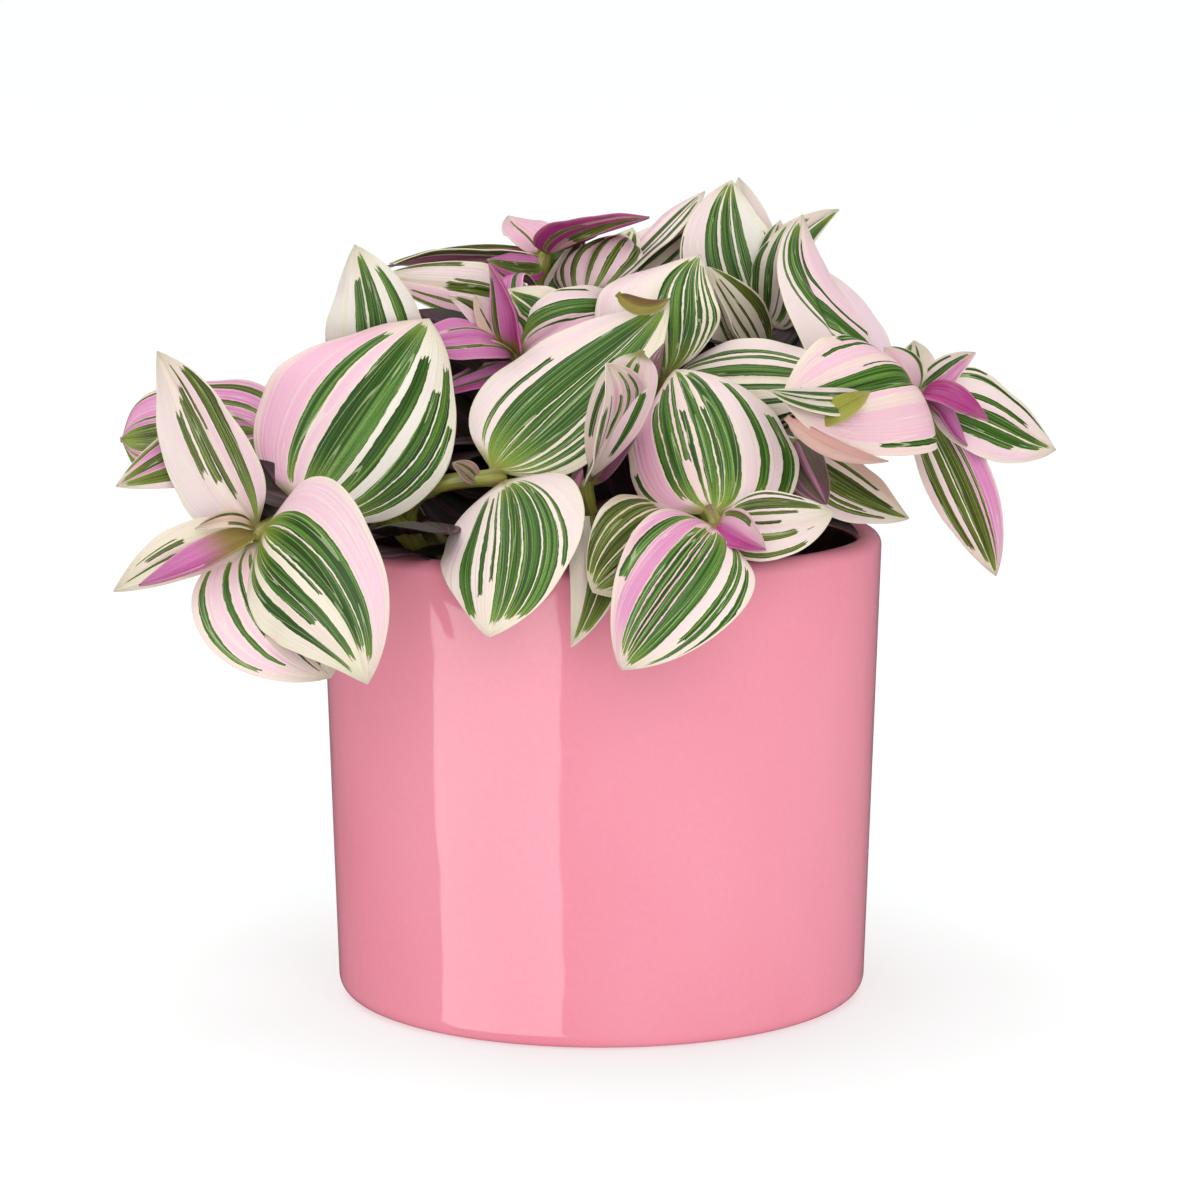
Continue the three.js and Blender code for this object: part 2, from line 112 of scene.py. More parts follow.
# Row: name, base, tip, face, width, first arch, second arch, sweep, cup and twist in degrees.
LEAVES = {
    "left": [
        ("up", (-82, -57, 127), (-106, -40, 165), (-0.55, -0.85, 0), 28, 6, 0, -1, 5, 12),
        ("out", (-84, -58.5, 125), (-115, -60, 110), (-0.15, -0.85, 0.5), 14.5, 5, 4, 1.5, -14, 0),
        ("front", (-79.5, -60, 125), (-53.5, -92.5, 93.5), (-0.2, -0.95, -0.2),
         41, 12, 3, -10, -8, 0),
        ("low", (-81, -58, 120.5), (-63, -75, 92), (0.25, -0.9, 0.4), 41.5, 2, 0, 3, -10, -11),
        ("young", (-83, -60.5, 124), (-108, -70, 113), (0.2, -0.5, 0.8), 10, 3, 1, -3, 60, 0),
        ("large", (-70, -56.5, 129.5), (-42, -20, 171), (0.2, -0.85, 0.45), 49, 3, 13, -1, -27, 12),
        ("creep_large", (-26.5, -42, 137.5), (16.5, -17, 175), (0, -0.75, 0.65),
         38, 2, 0, -2, -8, 22),
        ("creep_low", (-22, -45, 133.5), (-26, -90, 104), (-0.4, -0.8, 0.4), 37, 6, 0, -6, -14, 8),
    ],
    "outer": [
        ("tall", (-54.5, -17, 151), (-60, -18, 189), (0, -0.95, 0.3), 26.2, 4, 7, 2.2, -36, 7),
        ("back", (-83, -17, 145.5), (-116, -17, 143), (-0.1, -0.5, 0.85), 38, 0, 0, 8.5, -18, 6),
        ("out", (-83, -19, 141), (-116, -44, 133), (0, -0.9, 0.5), 18, 8, 6, -1, -8, 2),
    ],
    "tall": [
        ("long", (-17, 25, 184), (-54, 18, 181), (0, 0.1, 1), 12, 0, 5, 1, 30, 3),
        ("wide", (-20.5, 21, 170.5), (-55, 1, 180), (0, -0.85, 0.5), 18, 10, 4, -2, -8, -5),
        ("magenta", (-12.5, 25, 184.5), (12, 12, 194), (-0.5, 0.45, 0.75), 25, 2, 1, 3, 21, -6),
        ("rear", (-20, 27, 158), (-30, 74, 156), (-0.1, 0.3, 0.95), 31, 8, 10, 0, -20, 0),
    ],
    "middle": [
        ("purple", (-23.5, -8.5, 161.5), (-46, -28, 165.5), (0, -0.55, 0.85), 15, 8, 0, 2, -16, 22),
        ("furled", (-21.5, -10, 163), (-27.5, -17, 184.5), (-0.75, -0.65, 0.1), 13, 3, 0, 6, 50, 6),
        ("arched", (-18.5, -10, 162), (7, 6, 172.5), (0, -0.9, 0.45), 18, 11, 10, 0, -14, -8),
        ("pale", (-18, -7, 162.5), (-23.5, -4, 177), (0, -0.4, 1), 20, 1.5, 5, 7, -17, 5),
        ("barred", (-5.5, 7, 174.5), (6, 30.5, 188.5), (-0.55, -0.6, 0.55),
         30, 11.5, 7, 0, -48, -5),
        ("back", (-2, 13, 174.5), (26.5, 37.5, 199), (-0.85, -0.3, 0.4), 22, 0, 3.5, 2, -13, -17),
    ],
    "centre": [
        ("wide", (13, -17, 156.5), (24.5, 4, 185), (0, -0.9, 0.45), 32, 12, 7, -8, -19, 22),
        ("side", (17.5, -14, 155.5), (60, -34, 155), (-0.2, -0.75, 0.6), 24, 2, 7, -1, -20, -7),
    ],
    "top": [
        ("peak", (36.5, 14, 169.5), (33, 25, 202.5), (0, -0.9, 0.4), 25, 4.5, 6.5, -6, -9, 0),
        ("right", (43, 11, 167), (47.5, 9, 193), (-0.65, -0.7, 0.25), 18, 2.5, 9, 5, -7, -14),
        ("back", (41.5, 14, 168.5), (60, 20, 195.5), (0, -0.6, 0.8), 13, 3.5, 2, -7, 2, 0),
        ("bent", (39, 8, 162.5), (25, 1.5, 182), (-0.65, -0.3, 0.7), 20, 8, 3, 4, -26, 0),
        ("rear", (40, 13, 152), (52, 62, 156), (0.1, 0.3, 0.95), 31, 7, 10, 0, -20, 0),
    ],
    "front": [
        ("furled", (-4, -47, 136), (1, -71.5, 165), (0.65, -0.65, 0.4), 23, 1, 8, 3, 21, 22),
        ("small", (-3, -45.5, 123), (-7, -82.5, 100.5), (-0.25, -0.75, 0.6), 16, 19, 6, -9, 12, 11),
        ("up", (26, -68.5, 130.5), (18, -24.5, 159), (0, -0.9, 0.4), 46, 1, 14, 5, -50, -1),
        ("low", (25.5, -71, 125), (4.5, -96, 97.5), (0, -1, 0.1), 31, 22, 0, 0, -8, -8),
        ("side", (29, -69.5, 127.5), (54, -71, 130.5), (0.1, -0.9, 0.4), 17, 0, 3, 3, 9, -4),
        ("young", (27.5, -71.5, 127.5), (38, -78, 122.5), (0.3, -0.95, 0.3), 12, 3, 1, 1, 64, 0),
        ("inner", (17.5, -51.5, 125), (-2, -80.5, 113), (0, -0.9, 0.45), 28, 14, 0, 0, -15, 3),
    ],
    "right": [
        ("large", (74, -31, 154), (42, -73.5, 156.5), (0, -0.8, 0.55), 39, 21, 0, -4, -28, 8),
        ("out", (79, -29, 153), (111, -20, 139), (0.1, -0.75, 0.65), 25, 9, 1, -0.4, -19, -4),
        ("low", (77, -30, 149.5), (97, -19.5, 108), (-0.4, -0.9, 0.2), 17, 5, 7, -3.2, -15, 6),
        ("young", (77.5, -31.5, 154.5), (92.5, -41.5, 148.5), (-0.1, -0.6, 0.85),
         10, 5.5, 4, 2, 60, -3),
        ("tall", (63, -17, 153.5), (50, 6, 195), (0.4, -0.7, 0.6), 22, 13, 0, -8, -8, -17),
        ("inner", (49, -36, 140.5), (74.5, -31, 123.5), (0.15, -0.65, 0.7),
         25, 0, 0, -0.5, -21, 14),
        ("under", (47.5, -36, 145.5), (54, -42.5, 128.5), (-0.25, 0.7, 0.7), 13, -6, -3, 0, -34, 0),
    ],
    "rear_left": [
        ("low", (-50, 84, 125.5), (-58, 104, 86), (-0.4, 0.85, 0.3), 34, 8, 6, 0, -25, 0),
        ("out", (-52.5, 81, 125.5), (-94, 72, 134), (-0.2, 0.5, 0.85), 27, 6, 8, 0, -20, 0),
    ],
    "rear_right": [
        ("low", (53, 78, 130), (64, 100, 92), (0.4, 0.85, 0.3), 32, 8, 6, 0, -25, 0),
        ("out", (54.5, 74.5, 129.5), (88, 60, 146), (0.3, 0.5, 0.8), 27, 7, 7, 0, -20, 0),
        ("side", (0, 82.5, 124.5), (2, 104, 86), (0, 0.95, 0.3), 35, 9, 6, 0, -25, 0),
    ],
}

# The smallest leaves at the shoots' ends, which stand for parts of the stem nodes.
BUD_LEAVES = {
    "tall": [
        ("small", (-16.5, 26.5, 185.5), (-24, 35, 193), (0.4, -0.7, 0.55), 14.5, 5, 0, 0, 4, 0),
        ("dark", (-13, 21.5, 180.5), (-29, 18, 183), (0, -0.85, 0.5), 8, 2, 2, -2, 4, 0),
    ],
    "middle": [
        ("low", (-23, -10, 159.5), (-42, -21, 152), (-0.2, -0.4, 0.9), 13, 0, 3, -4, 4, 0),
        ("curl", (-21.5, -5.5, 164.5), (-16, 15, 176), (-0.35, -0.45, 0.8), 9, 8, 20, -2, -20, 0),
    ],
    "right": [
        ("sheath", (78, -32.5, 151.5), (88, -37, 142), (0.5, -0.4, 0.75), 8, 5, 0, 2, 37, 2),
        ("small", (77.5, -29, 155.5), (90, -32, 164), (0, -0.65, 0.75), 10, 0, 2, 1, 28, 0),
    ],
}

# Small leaves and folded margins that only the visible model has. Those named shade are leaves
# that fill gaps deep inside, darkened on both sides as painted shade.
EXTRA_LEAVES = {
    "left": [
        ("curl", (-84, -58, 127), (-95.5, -61, 125), (-0.2, -0.8, 0.5), 5, 8, 5, 0, 40, 0),
        ("hood", (-30, -44.5, 134), (-35.6, -45, 138.8), (0.3, -0.8, 0.5), 6, 1, 1, 0, 45, 0),
        ("shade", (-73, -53, 126), (-84, -51, 122), (0, -0.9, 0.4), 15, 0, 0, 0, -10, 0),
        ("shade_up", (-73, -54, 127), (-81.5, -49, 140), (0, -0.9, 0.4), 12, 0, 0, 0, -10, 0),
    ],
    "tall": [
        ("edge", (-15.5, 24.6, 185.6), (-54.4, 17.4, 181.4), (0, -0.9, 0.4), 3, 0, 0.5, 1, 30, 0),
        ("side", (-17, 25.5, 184), (-53.5, 18.6, 182), (0, -0.85, 0.5), 6.8, 0, 0, 0.8, 20, 0),
        ("behind", (-14, 24, 172), (-5, 30, 189), (0, -0.9, 0.4), 15, 1, 1, 0, -12, 0),
    ],
    "middle": [
        ("bud_pink", (-23, -8, 163), (-37.5, -8, 175.8), (-0.3, -0.7, 0.5), 8, 1, 2, 2, 40, 0),
        ("bud_peach", (-22.5, -9, 163.5), (-31.2, -9, 176.2), (0, -0.9, 0.3), 8, 1, 2, -1, 30, 0),
        ("bud_green", (-23, -12, 160), (-27, -15, 165.5), (-0.2, -0.9, 0.3),
         2.4, 0.5, 0.5, 0, 50, 0),
        ("back_wing", (0, 13.5, 172), (27, 35.5, 193), (-0.3, -0.8, 0.5), 22, 1, 2, 0, -12, 0),
        ("barred_wing", (-9, 12, 176), (8, 32, 190), (-0.5, -0.7, 0.5), 22, 2, 2, -1, -16, 0),
        ("shade_top", (-24, -5, 158), (-47, -1, 171.5), (0, -0.9, 0.4), 14, 2, 2, 0, -10, 0),
        ("shade_mid", (-24, -5, 144), (-45, -6, 158), (0, -0.9, 0.4), 23, 2, 2, 0, -14, 0),
        ("shade_low", (-25, -9, 120), (-48, -14, 133), (0, -0.9, 0.4), 23, 2, 2, 0, -14, 0),
    ],
    "centre": [
        ("shade", (7, -14, 122), (2, -15, 152), (0, -0.95, 0.3), 21, 2, 2, 0, -12, 0),
    ],
    "top": [
        ("arch", (44, 7, 158), (26.1, -4, 182.7), (0, -0.9, 0.45), 17, 3, 3, -1, -14, 0),
        ("wing", (43, 13, 168), (44.9, 12, 193.2), (-0.6, -0.7, 0.25), 14, 1, 3, 0, -10, 0),
        ("peak_wing", (38, 15, 166), (34.7, 25.6, 203.2), (0, -0.9, 0.4), 15, 2, 3, 1, -10, 0),
        ("shade_left", (37, 7, 147), (19, 4, 167), (0, -0.9, 0.4), 21, 2, 2, 0, -12, 0),
        ("shade_right", (42, 10, 148), (55, 8, 171), (0, -0.9, 0.4), 17, 2, 2, 0, -12, 0),
    ],
    "front": [
        ("back", (-2, -43.5, 133), (14.8, -47, 167.5), (-0.1, -0.95, 0.3), 8.4, 1, 1, 0.6, -12, 0),
    ],
    "right": [
        ("bud_up", (75, -28, 154.5), (75.6, -26, 166.4), (-0.1, -0.95, 0.2), 11, 1, 1, 1, 20, 0),
        ("wing", (65.8, -17.5, 157), (53.4, 3.2, 182), (0.3, -0.7, 0.6), 18, 2, 3, 3, -16, 0),
        ("large_wing", (75, -30.5, 154), (68, -34, 165.4), (0, -0.85, 0.5), 11, 1, 1, 1, -12, 0),
    ],
    # These grow on another leaf, so they keep the base that they are given.
    "": [
        ("fold_tip", (62.2, -59, 156.3), (38.2, -75.6, 159.2), (0.1, -0.8, 0.6),
         7.4, 0, 1.5, -4, 24, 20),
        ("fold_lime", (49, -69, 151.2), (62.6, -65.6, 158), (0, -0.85, 0.4),
         6.4, 0.6, 0.5, 0.5, 10, 0),
        ("fold_peach", (42.6, -73.4, 152.8), (67, -63.4, 141.4), (0.05, -0.9, -0.1),
         4.8, 2, 2, 3, -20, 0),
        ("fold_brown", (3.8, -20, 177.3), (16.7, -18.4, 176), (0, -0.95, 0.2),
         4.4, 0.8, 0.5, 3.6, 10, 0),
        ("fold_furl", (9.4, -62.5, 167.2), (-2.2, -48.5, 136), (0.3, -0.9, 0.3),
         15, 0.5, 0.5, 0, -12, 0),
        ("outer_wing", (-117.8, -18.5, 141.4), (-88, -19.5, 146), (-0.1, -0.8, 0.6),
         26, 0.5, 0.5, 0, -10, 0),
    ],
}

# Shoots that fill the back and the sides of the visible plant.
BACK_SHOOTS = {
    "back_left": [
        (2.4, 1.8, (-12, 30, 98), (-24, 44, 128), (-30, 58, 140), (-30, 74, 136)),
    ],
    "back_right": [
        (2.4, 1.8, (10, 32, 98), (20, 46, 128), (26, 58, 142), (30, 70, 140)),
    ],
    "side_left": [
        (2.4, 1.8, (-32, 12, 98), (-46, 18, 126), (-58, 26, 132), (-66, 36, 124)),
    ],
    "side_right": [
        (2.4, 1.8, (34, 14, 98), (46, 20, 126), (52, 30, 134), (62, 42, 128)),
    ],
}

# Leaves that fill the plant, one group a piece. Shoot, its row, share of its length in
# hundredths, heading from +X and elevation in degrees, length and width.
FILLERS = {
    "rear_left": (
        "rear_left 0 97 60 12 34 22, rear_left 0 92 200 20 32 20, rear_left 0 99 130 42 26 17, "
        "rear_left 0 99 90 68 14 6, rear_left 0 70 40 25 32 20, rear_left 0 60 170 25 34 22"
    ),
    "rear_right": (
        "rear_right 0 97 110 14 33 21, rear_right 0 99 60 45 26 16, rear_right 0 99 20 70 13 6, "
        "rear_right 0 72 0 24 33 21, rear_right 0 60 130 30 30 20"
    ),
    "rear_middle": (
        "rear_right 1 97 40 10 33 21, rear_right 1 96 140 12 33 21, rear_right 1 99 95 48 24 16, "
        "rear_right 1 99 70 72 13 6, rear_right 1 70 160 30 32 20, rear_right 1 60 30 28 30 20"
    ),
    "back_left": (
        "back_left 0 97 95 -5 36 24, back_left 0 95 160 10 32 20, back_left 0 99 60 30 28 18, "
        "back_left 0 99 120 60 15 7, back_left 0 72 200 22 34 22, back_left 0 60 20 30 30 20"
    ),
    "back_right": (
        "back_right 0 97 80 -2 36 24, back_right 0 95 20 10 33 21, back_right 0 99 120 32 28 18, "
        "back_right 0 99 60 62 14 6, back_right 0 70 150 25 33 21"
    ),
    "side_left": (
        "side_left 0 97 165 -12 32 21, side_left 0 95 100 5 34 22, side_left 0 96 220 5 30 19, "
        "side_left 0 99 150 45 24 15, side_left 0 65 250 12 32 21, side_left 0 55 130 30 30 20"
    ),
    "side_right": (
        "side_right 0 97 88 -8 29 17, side_right 0 95 130 10 26 18, side_right 0 99 110 30 28 18, "
        "side_right 0 99 70 62 14 6, side_right 0 65 300 15 30 19"
    ),
    "tall_back": (
        "tall 0 62 100 10 36 24, tall 0 72 60 18 34 22, tall 0 52 150 12 36 23, "
        "tall 0 80 130 15 30 19, tall 0 45 20 15 34 22"
    ),
    "top_back": (
        "top 0 60 100 5 36 24, top 0 72 60 5 32 21, top 0 50 30 8 36 23, top 0 66 150 8 30 20, "
        "top 0 84 90 25 28 18"
    ),
    "inner_left": (
        "left 0 16 240 12 34 24, left 0 30 290 8 30 22, left 1 20 320 0 26 18, "
        "outer 0 40 250 0 36 25, outer 0 65 300 10 30 20, outer 1 50 190 5 28 18, "
        "outer 0 25 200 14 34 22, outer 0 60 320 20 30 20, left 0 75 165 8 24 18"
    ),
    "inner_middle": (
        "middle 0 45 230 12 32 24, middle 0 70 250 8 19 16, middle 0 58 300 16 32 24, "
        "middle 1 40 330 12 32 24, middle 0 30 200 12 34 25, middle 1 60 20 20 32 22, "
        "middle 0 80 320 4 26 18, tall 0 75 200 0 34 18, middle 0 45 200 -5 34 20, "
        "middle 1 48 345 0 30 20, middle 0 78 165 30 34 20"
    ),
    "inner_front": (
        "front 0 22 200 4 32 22, front 1 20 240 4 26 19, front 0 35 330 8 34 24, "
        "centre 0 30 250 10 34 24, centre 0 55 300 6 32 22, centre 0 70 200 10 30 20, "
        "centre 0 85 330 0 28 18, centre 0 80 250 5 22 16, centre 0 60 220 -5 26 18"
    ),
    "inner_right": (
        "right 0 35 250 0 34 24, right 1 40 320 -5 28 19, right 0 40 300 0 20 16, "
        "top 0 35 280 10 34 24, top 0 55 240 15 32 22, top 0 75 300 8 28 18, "
        "right 0 25 20 8 22 18, right 0 70 110 5 26 18, top 0 78 200 20 24 20, "
        "right 1 75 60 0 22 18"
    ),
}

# Groups deep inside the plant, whose leaves are darkened on both sides as painted shade, and
# how bright that painted shade is next to an underside.
PAINTED_SHADE_GROUPS = ("inner_left", "inner_middle", "inner_front", "inner_right")
PAINTED_SHADE_LEVEL = 0.25

# ------------------------------------------------------------------ how the leaves are striped

# Ground colours of a leaf from its left margin to its right one, seen with the tip upwards.
WHITE, CREAM, BLUSH, PINK, ORCHID = "#f5eee4", "#f2e6d0", "#f6e0de", "#f6ceda", "#efb6cd"
ROSE, MAGENTA, PEACH, LIME = "#d97ab8", "#b52f88", "#eec4b0", "#a3a338"

# Leaf: left ground, right ground, lean, fan, stripes. A stripe is its left and right edge in
# hundredths of the half width, and its start and end in hundredths of the length. Lean is how
# far the stripes drift to the right on their way to the tip, and fan how much they spread.
STRIPES = {
    "left_front": (
        PINK, CREAM, -15, 0,
        "-50 -25 3 92, -23 3 3 86, 5 9 3 57, 19 34 5 88, 35 47 5 65, 58 72 8 92",
    ),
    "left_low": (
        BLUSH, PINK, 0, 0,
        "-92 -70 8 80, -52 -36 6 85, -20 4 5 90, 18 24 8 92, 34 40 6 60, 53 60 10 78, 83 91 12 74",
    ),
    "left_large": (
        ORCHID, WHITE, 5, 20,
        "-51 -38 8 82, -21 20 2 95, 28 43 4 79, 56 68 8 70, 70 83 8 82, 85 93 10 60",
    ),
    "left_up": (
        BLUSH, PINK, 15, 60,
        "-32 -16 36 68, -12 2 28 74, 4 24 18 78, 28 34 50 90, 52 86 4 84",
    ),
    "left_out": (
        CREAM, CREAM, 0, 0,
        "-55 -35 10 70, -12 2 30 90, 20 38 44 72, 44 62 48 80, 50 72 8 30",
    ),
    "left_creep_large": (
        BLUSH, CREAM, 15, 10,
        "-63 -54 8 53, -42 -3 2 92, -1 11 2 94, 13 50 2 96, 55 66 5 60, 71 80 5 50, 85 92 5 40",
    ),
    "left_creep_low": (
        BLUSH, BLUSH, 0, 115,
        "-81 -74 10 66, -68 -48 10 88, -46 -22 8 90, -20 -2 8 93, 0 14 8 92, 18 23 10 70, "
        "31 38 15 77, 50 68 12 88",
    ),
    "front_up": (
        "#ebaac4", BLUSH, -22, 0,
        "-97 -92 15 36, -62 -53 10 72, -51 -37 3 83, -34 -28 30 88, -25 -20 5 60, -16 -3 3 93, "
        "-1 4 5 60, 5 24 3 88, 44 56 6 74, 74 88 10 55",
    ),
    "front_low": (
        BLUSH, "#dd8fba", 12, 50,
        "-97 -88 20 80, -79 -70 10 90, -68 -59 10 72, -42 -12 8 95, -10 5 10 93, 8 14 12 90, "
        "16 27 12 93, 29 41 15 90, 74 90 8 62",
    ),
    "front_side": (
        BLUSH, BLUSH, 0, 0,
        "-96 -88 10 80, -80 -48 6 90, -42 -32 20 70, -15 -7 20 53, 20 46 10 66, 42 52 74 80, "
        "76 92 10 72",
    ),
    # Its cream ground is made darker as painted shade.
    "front_inner": (
        "#dcc6a2", "#d9c3a0", 40, 0,
        "-88 -58 5 90, -50 -12 4 95, -6 16 5 94, 20 44 4 95, 48 66 5 90, 70 88 6 88",
    ),
    "front_small": (CREAM, CREAM, 0, 0, "-92 -24 4 92, -16 30 4 96"),
    "front_furled": (
        PINK, "#d9a3b4", 20, 0,
        "-95 -62 2 75, -45 -37 10 80, 5 13 30 72, 30 42 25 90, 60 70 20 84",
    ),
    "right_large": (
        "#f0c0cd", "#f2c2d2", 8, 0,
        "-92 -84 18 62, -35 -22 84 100, -10 24 2 86, 29 32 10 50, 36 44 86 100, 68 74 20 65, "
        "82 100 8 42",
    ),
    "right_out": (
        BLUSH, PINK, 0, 0,
        "-97 -90 10 42, -82 -66 10 89, -30 -16 10 74, -7 26 5 94, 30 52 5 88, 53 66 5 66",
    ),
    "right_low": (ROSE, BLUSH, 0, 15, "-52 -44 8 92, -36 9 3 97, 12 35 12 90, 50 78 14 80"),
    "right_tall": (BLUSH, PINK, -200, 0, "-60 -52 8 97, -42 6 5 93, 22 32 8 84"),
    "right_inner": (
        PEACH, BLUSH, 0, 0,
        "-32 -20 14 70, -10 2 10 85, 4 52 4 97, 58 66 10 65, 70 79 10 82",
    ),
    "centre_wide": (
        BLUSH, CREAM, -18, 0,
        "-4 14 5 92, 18 37 4 97, 40 60 4 95, 62 69 5 95, 75 80 10 90, 86 94 10 90",
    ),
    "centre_side": (
        BLUSH, CREAM, 0, 0,
        "-66 -56 5 95, -50 -42 5 90, -28 -4 6 95, 20 34 10 90, 55 70 10 85",
    ),
    "top_peak": (
        BLUSH, WHITE, 0, 0,
        "-97 -93 40 60, -48 -19 3 96, -12 14 3 97, 19 40 3 96, 84 92 10 60",
    ),
    "right_large_wing": (PINK, PINK, 0, 0, "78 98 5 92"),
    "tall_behind": (WHITE, CREAM, 0, 0, "-70 -20 5 90, 0 40 5 92, 60 80 5 90"),
    "top_right": (
        CREAM, BLUSH, -20, 0,
        "-98 -68 5 80, -46 -18 5 94, 2 12 10 90, 30 50 10 85, 70 80 10 80",
    ),
    "top_back": (BLUSH, CREAM, 0, 0, "-62 -34 4 80, -2 14 4 90, 30 90 4 97"),
    "top_bent": (CREAM, CREAM, 20, 0, "-84 -22 5 80, 4 14 10 84, 34 50 8 78, 70 78 10 70"),
    "middle_barred": (
        PINK, PINK, 20, 0,
        "-90 -76 5 70, -60 -46 5 80, -26 -10 5 76, 12 26 5 80, 46 58 5 84, 76 90 8 84",
    ),
    "middle_back": (PINK, BLUSH, 0, 0, "-60 -50 10 60, 20 44 6 92, 54 62 8 90, 74 86 10 84"),
    "middle_arched": (BLUSH, ORCHID, 100, 0, "-96 -86 10 66, -54 -8 4 92, 2 8 8 84, 86 96 10 84"),
    "middle_pale": (ROSE, CREAM, -90, 0, "-60 -36 5 97, -28 2 5 94, 12 50 5 94"),
    "middle_purple": ("#cf78b0", "#cf78b0", 0, 0, "-54 -42 4 78, 30 40 5 60"),
    "outer_tall": (WHITE, WHITE, 0, 0, "-60 -52 5 45, -32 -12 6 80, -8 26 4 93, 46 68 6 84"),
    "outer_back": (ROSE, ROSE, 0, 0, "-74 -52 8 88, -22 -2 6 92, 24 36 8 90, 64 82 8 90"),
    "outer_out": (BLUSH, ROSE, 0, 0, "-70 -12 5 95, 10 48 5 95, 76 94 8 92"),
    "tall_long": (BLUSH, BLUSH, 0, 0, "-98 -56 10 95, 56 98 10 95"),
    "tall_wide": (
        ORCHID, BLUSH, 0, 0,
        "-99 -82 56 84, -58 -46 56 84, -12 20 20 62, 22 32 20 56, 80 98 50 92",
    ),
    "tall_small": (ORCHID, ORCHID, 0, 0, "-34 -22 10 84"),
    "right_small": (BLUSH, ROSE, 0, 0, "-48 -14 6 90, -88 -74 20 70"),
    "left_young": (MAGENTA, ROSE, 0, 0, "-60 -40 4 50"),
    "front_young": (ORCHID, MAGENTA, 0, 0, "-90 -60 10 60"),
    "right_young": (MAGENTA, MAGENTA, 0, 0, "62 90 10 90"),
    "tall_magenta": (MAGENTA, MAGENTA, 30, 0, "4 34 30 92, 58 68 8 55"),
    "tall_dark": (MAGENTA, ROSE, 0, 0, "-60 30 4 96"),
    "middle_furled": (ROSE, MAGENTA, 0, 0, "-90 -66 6 90"),
    "middle_low": (MAGENTA, ROSE, 0, 0, "-40 0 5 90, 50 74 8 84"),
    "middle_curl": (MAGENTA, ROSE, 0, 0, "30 60 10 90"),
    "right_sheath": (ROSE, MAGENTA, 0, 0, ""),
    "right_under": (MAGENTA, MAGENTA, 0, 0, "-70 -30 5 90, 20 60 5 90"),
    "left_curl": (PEACH, PEACH, 0, 0, "-80 -30 8 50, 40 70 10 90"),
    "middle_bud_pink": (PINK, PINK, 0, 0, "-6 64 5 92"),
    "middle_bud_peach": (PEACH, PINK, 0, 0, "-30 -14 30 80"),
    "middle_bud_green": (LIME, LIME, 0, 0, ""),
    "right_bud_up": ("#c9d3ae", CREAM, 0, 0, "-70 -30 5 92, 10 26 5 88"),
    "fold_tip": (CREAM, BLUSH, 0, 0, "-84 -34 4 96, 6 20 6 90, 40 70 4 96"),
    "fold_lime": (LIME, LIME, 0, 0, ""),
    "fold_peach": ("#e9aca2", "#efbfb2", 0, 0, ""),
    "fold_brown": ("#7c5a2c", "#a89c3a", 0, 0, ""),
    "tall_edge": ("#8d4a63", "#a4577c", 0, 0, ""),
    "top_arch": (
        CREAM, CREAM, 0, 0,
        "-62 -54 5 80, -34 -24 5 84, -4 4 5 86, 24 32 5 88, 58 92 2 97",
    ),
    "right_wing": (BLUSH, "#f3d6e1", 0, 0, "-60 -50 5 90"),
    "top_peak_wing": (WHITE, BLUSH, 0, 0, "76 82 10 60"),
    "middle_back_wing": (BLUSH, CREAM, 0, 0, "0 20 5 92, 40 52 5 90, 66 74 5 88"),
    "outer_wing": (
        ROSE, ROSE, 0, 0,
        "-98 -92 0 90, -42 -36 0 92, -24 40 0 92, 52 60 0 92, 68 96 0 90",
    ),
    "fold_furl": (PINK, BLUSH, 10, 0, "-66 -44 30 80, -14 6 10 56, 26 46 4 60, 62 80 20 70"),
    "front_back": ("#a04a7d", "#7d3a5c", 0, 0, "-50 -34 5 90, 10 26 5 90"),
    "tall_side": (ORCHID, BLUSH, 0, 0, "-70 -50 4 97, -20 0 5 80, 26 96 4 97"),
    "top_wing": (CREAM, BLUSH, 0, 0, "-80 -44 4 95, -12 20 4 96, 46 70 5 92"),
    "middle_barred_wing": (WHITE, CREAM, 0, 0, "-70 -20 5 90, 0 40 5 92, 60 80 5 90"),
    "left_hood": ("#94686c", "#a98078", 0, 0, "-50 -20 5 90, 20 50 5 90"),
}

# Leaves that show the same skin on both sides.
SAME_BELOW = (
    "tall_magenta", "tall_long", "tall_dark", "tall_small", "tall_side", "middle_furled",
    "middle_bud_green", "middle_bud_pink", "middle_bud_peach", "left_young", "left_curl",
    "left_hood", "front_young", "front_furled", "right_young", "fold_tip", "fold_lime",
    "fold_peach", "fold_brown",
)

# How far a lime green foot runs up a young leaf, as a share of its length. A thousandth of it
# doesn't show.
GREEN_FOOT = {
    "left_young": 0.55, "middle_furled": 0.25, "left_curl": 0.2, "front_young": 0.12,
    "fold_peach": 0.001, "outer_wing": 0.001,
}

# Leaves whose stripes are olive rather than deep green: the young ones and those in the shade.
OLIVE_GREEN = (
    "left_up", "left_out", "left_young", "left_curl", "front_side", "front_inner", "front_small",
    "front_young", "right_low", "right_inner", "right_under", "right_sheath", "top_bent",
    "outer_out", "outer_back", "tall_long", "tall_wide", "tall_small", "tall_dark",
    "tall_magenta", "middle_purple", "middle_furled", "middle_low", "middle_bud_pink",
    "tall_side", "top_arch", "outer_wing", "left_hood", "middle_barred",
)

# Leaves of one strong colour, whose ground is left nearly plain.
VIVID = (
    "tall_magenta", "tall_dark", "tall_edge", "middle_furled", "middle_low", "middle_purple",
    "left_young", "left_hood", "front_back", "front_young", "right_young", "right_under",
    "right_sheath", "fold_brown", "fold_lime", "fold_peach",
)

# How far the stripes bow away from a straight line, in hundredths of the half width.
BOWS = {"right_tall": 360}

# ------------------------------------------------------------------ colours and materials


def from_hex(text):
    """The linear red, green and blue of an sRGB hex colour such as #f59cb0."""
    channels = [int(text[i : i + 2], 16) / 255 for i in (1, 3, 5)]
    return tuple(
        c / 12.92 if c <= 0.04045 else ((c + 0.055) / 1.055) ** 2.4 for c in channels
    )


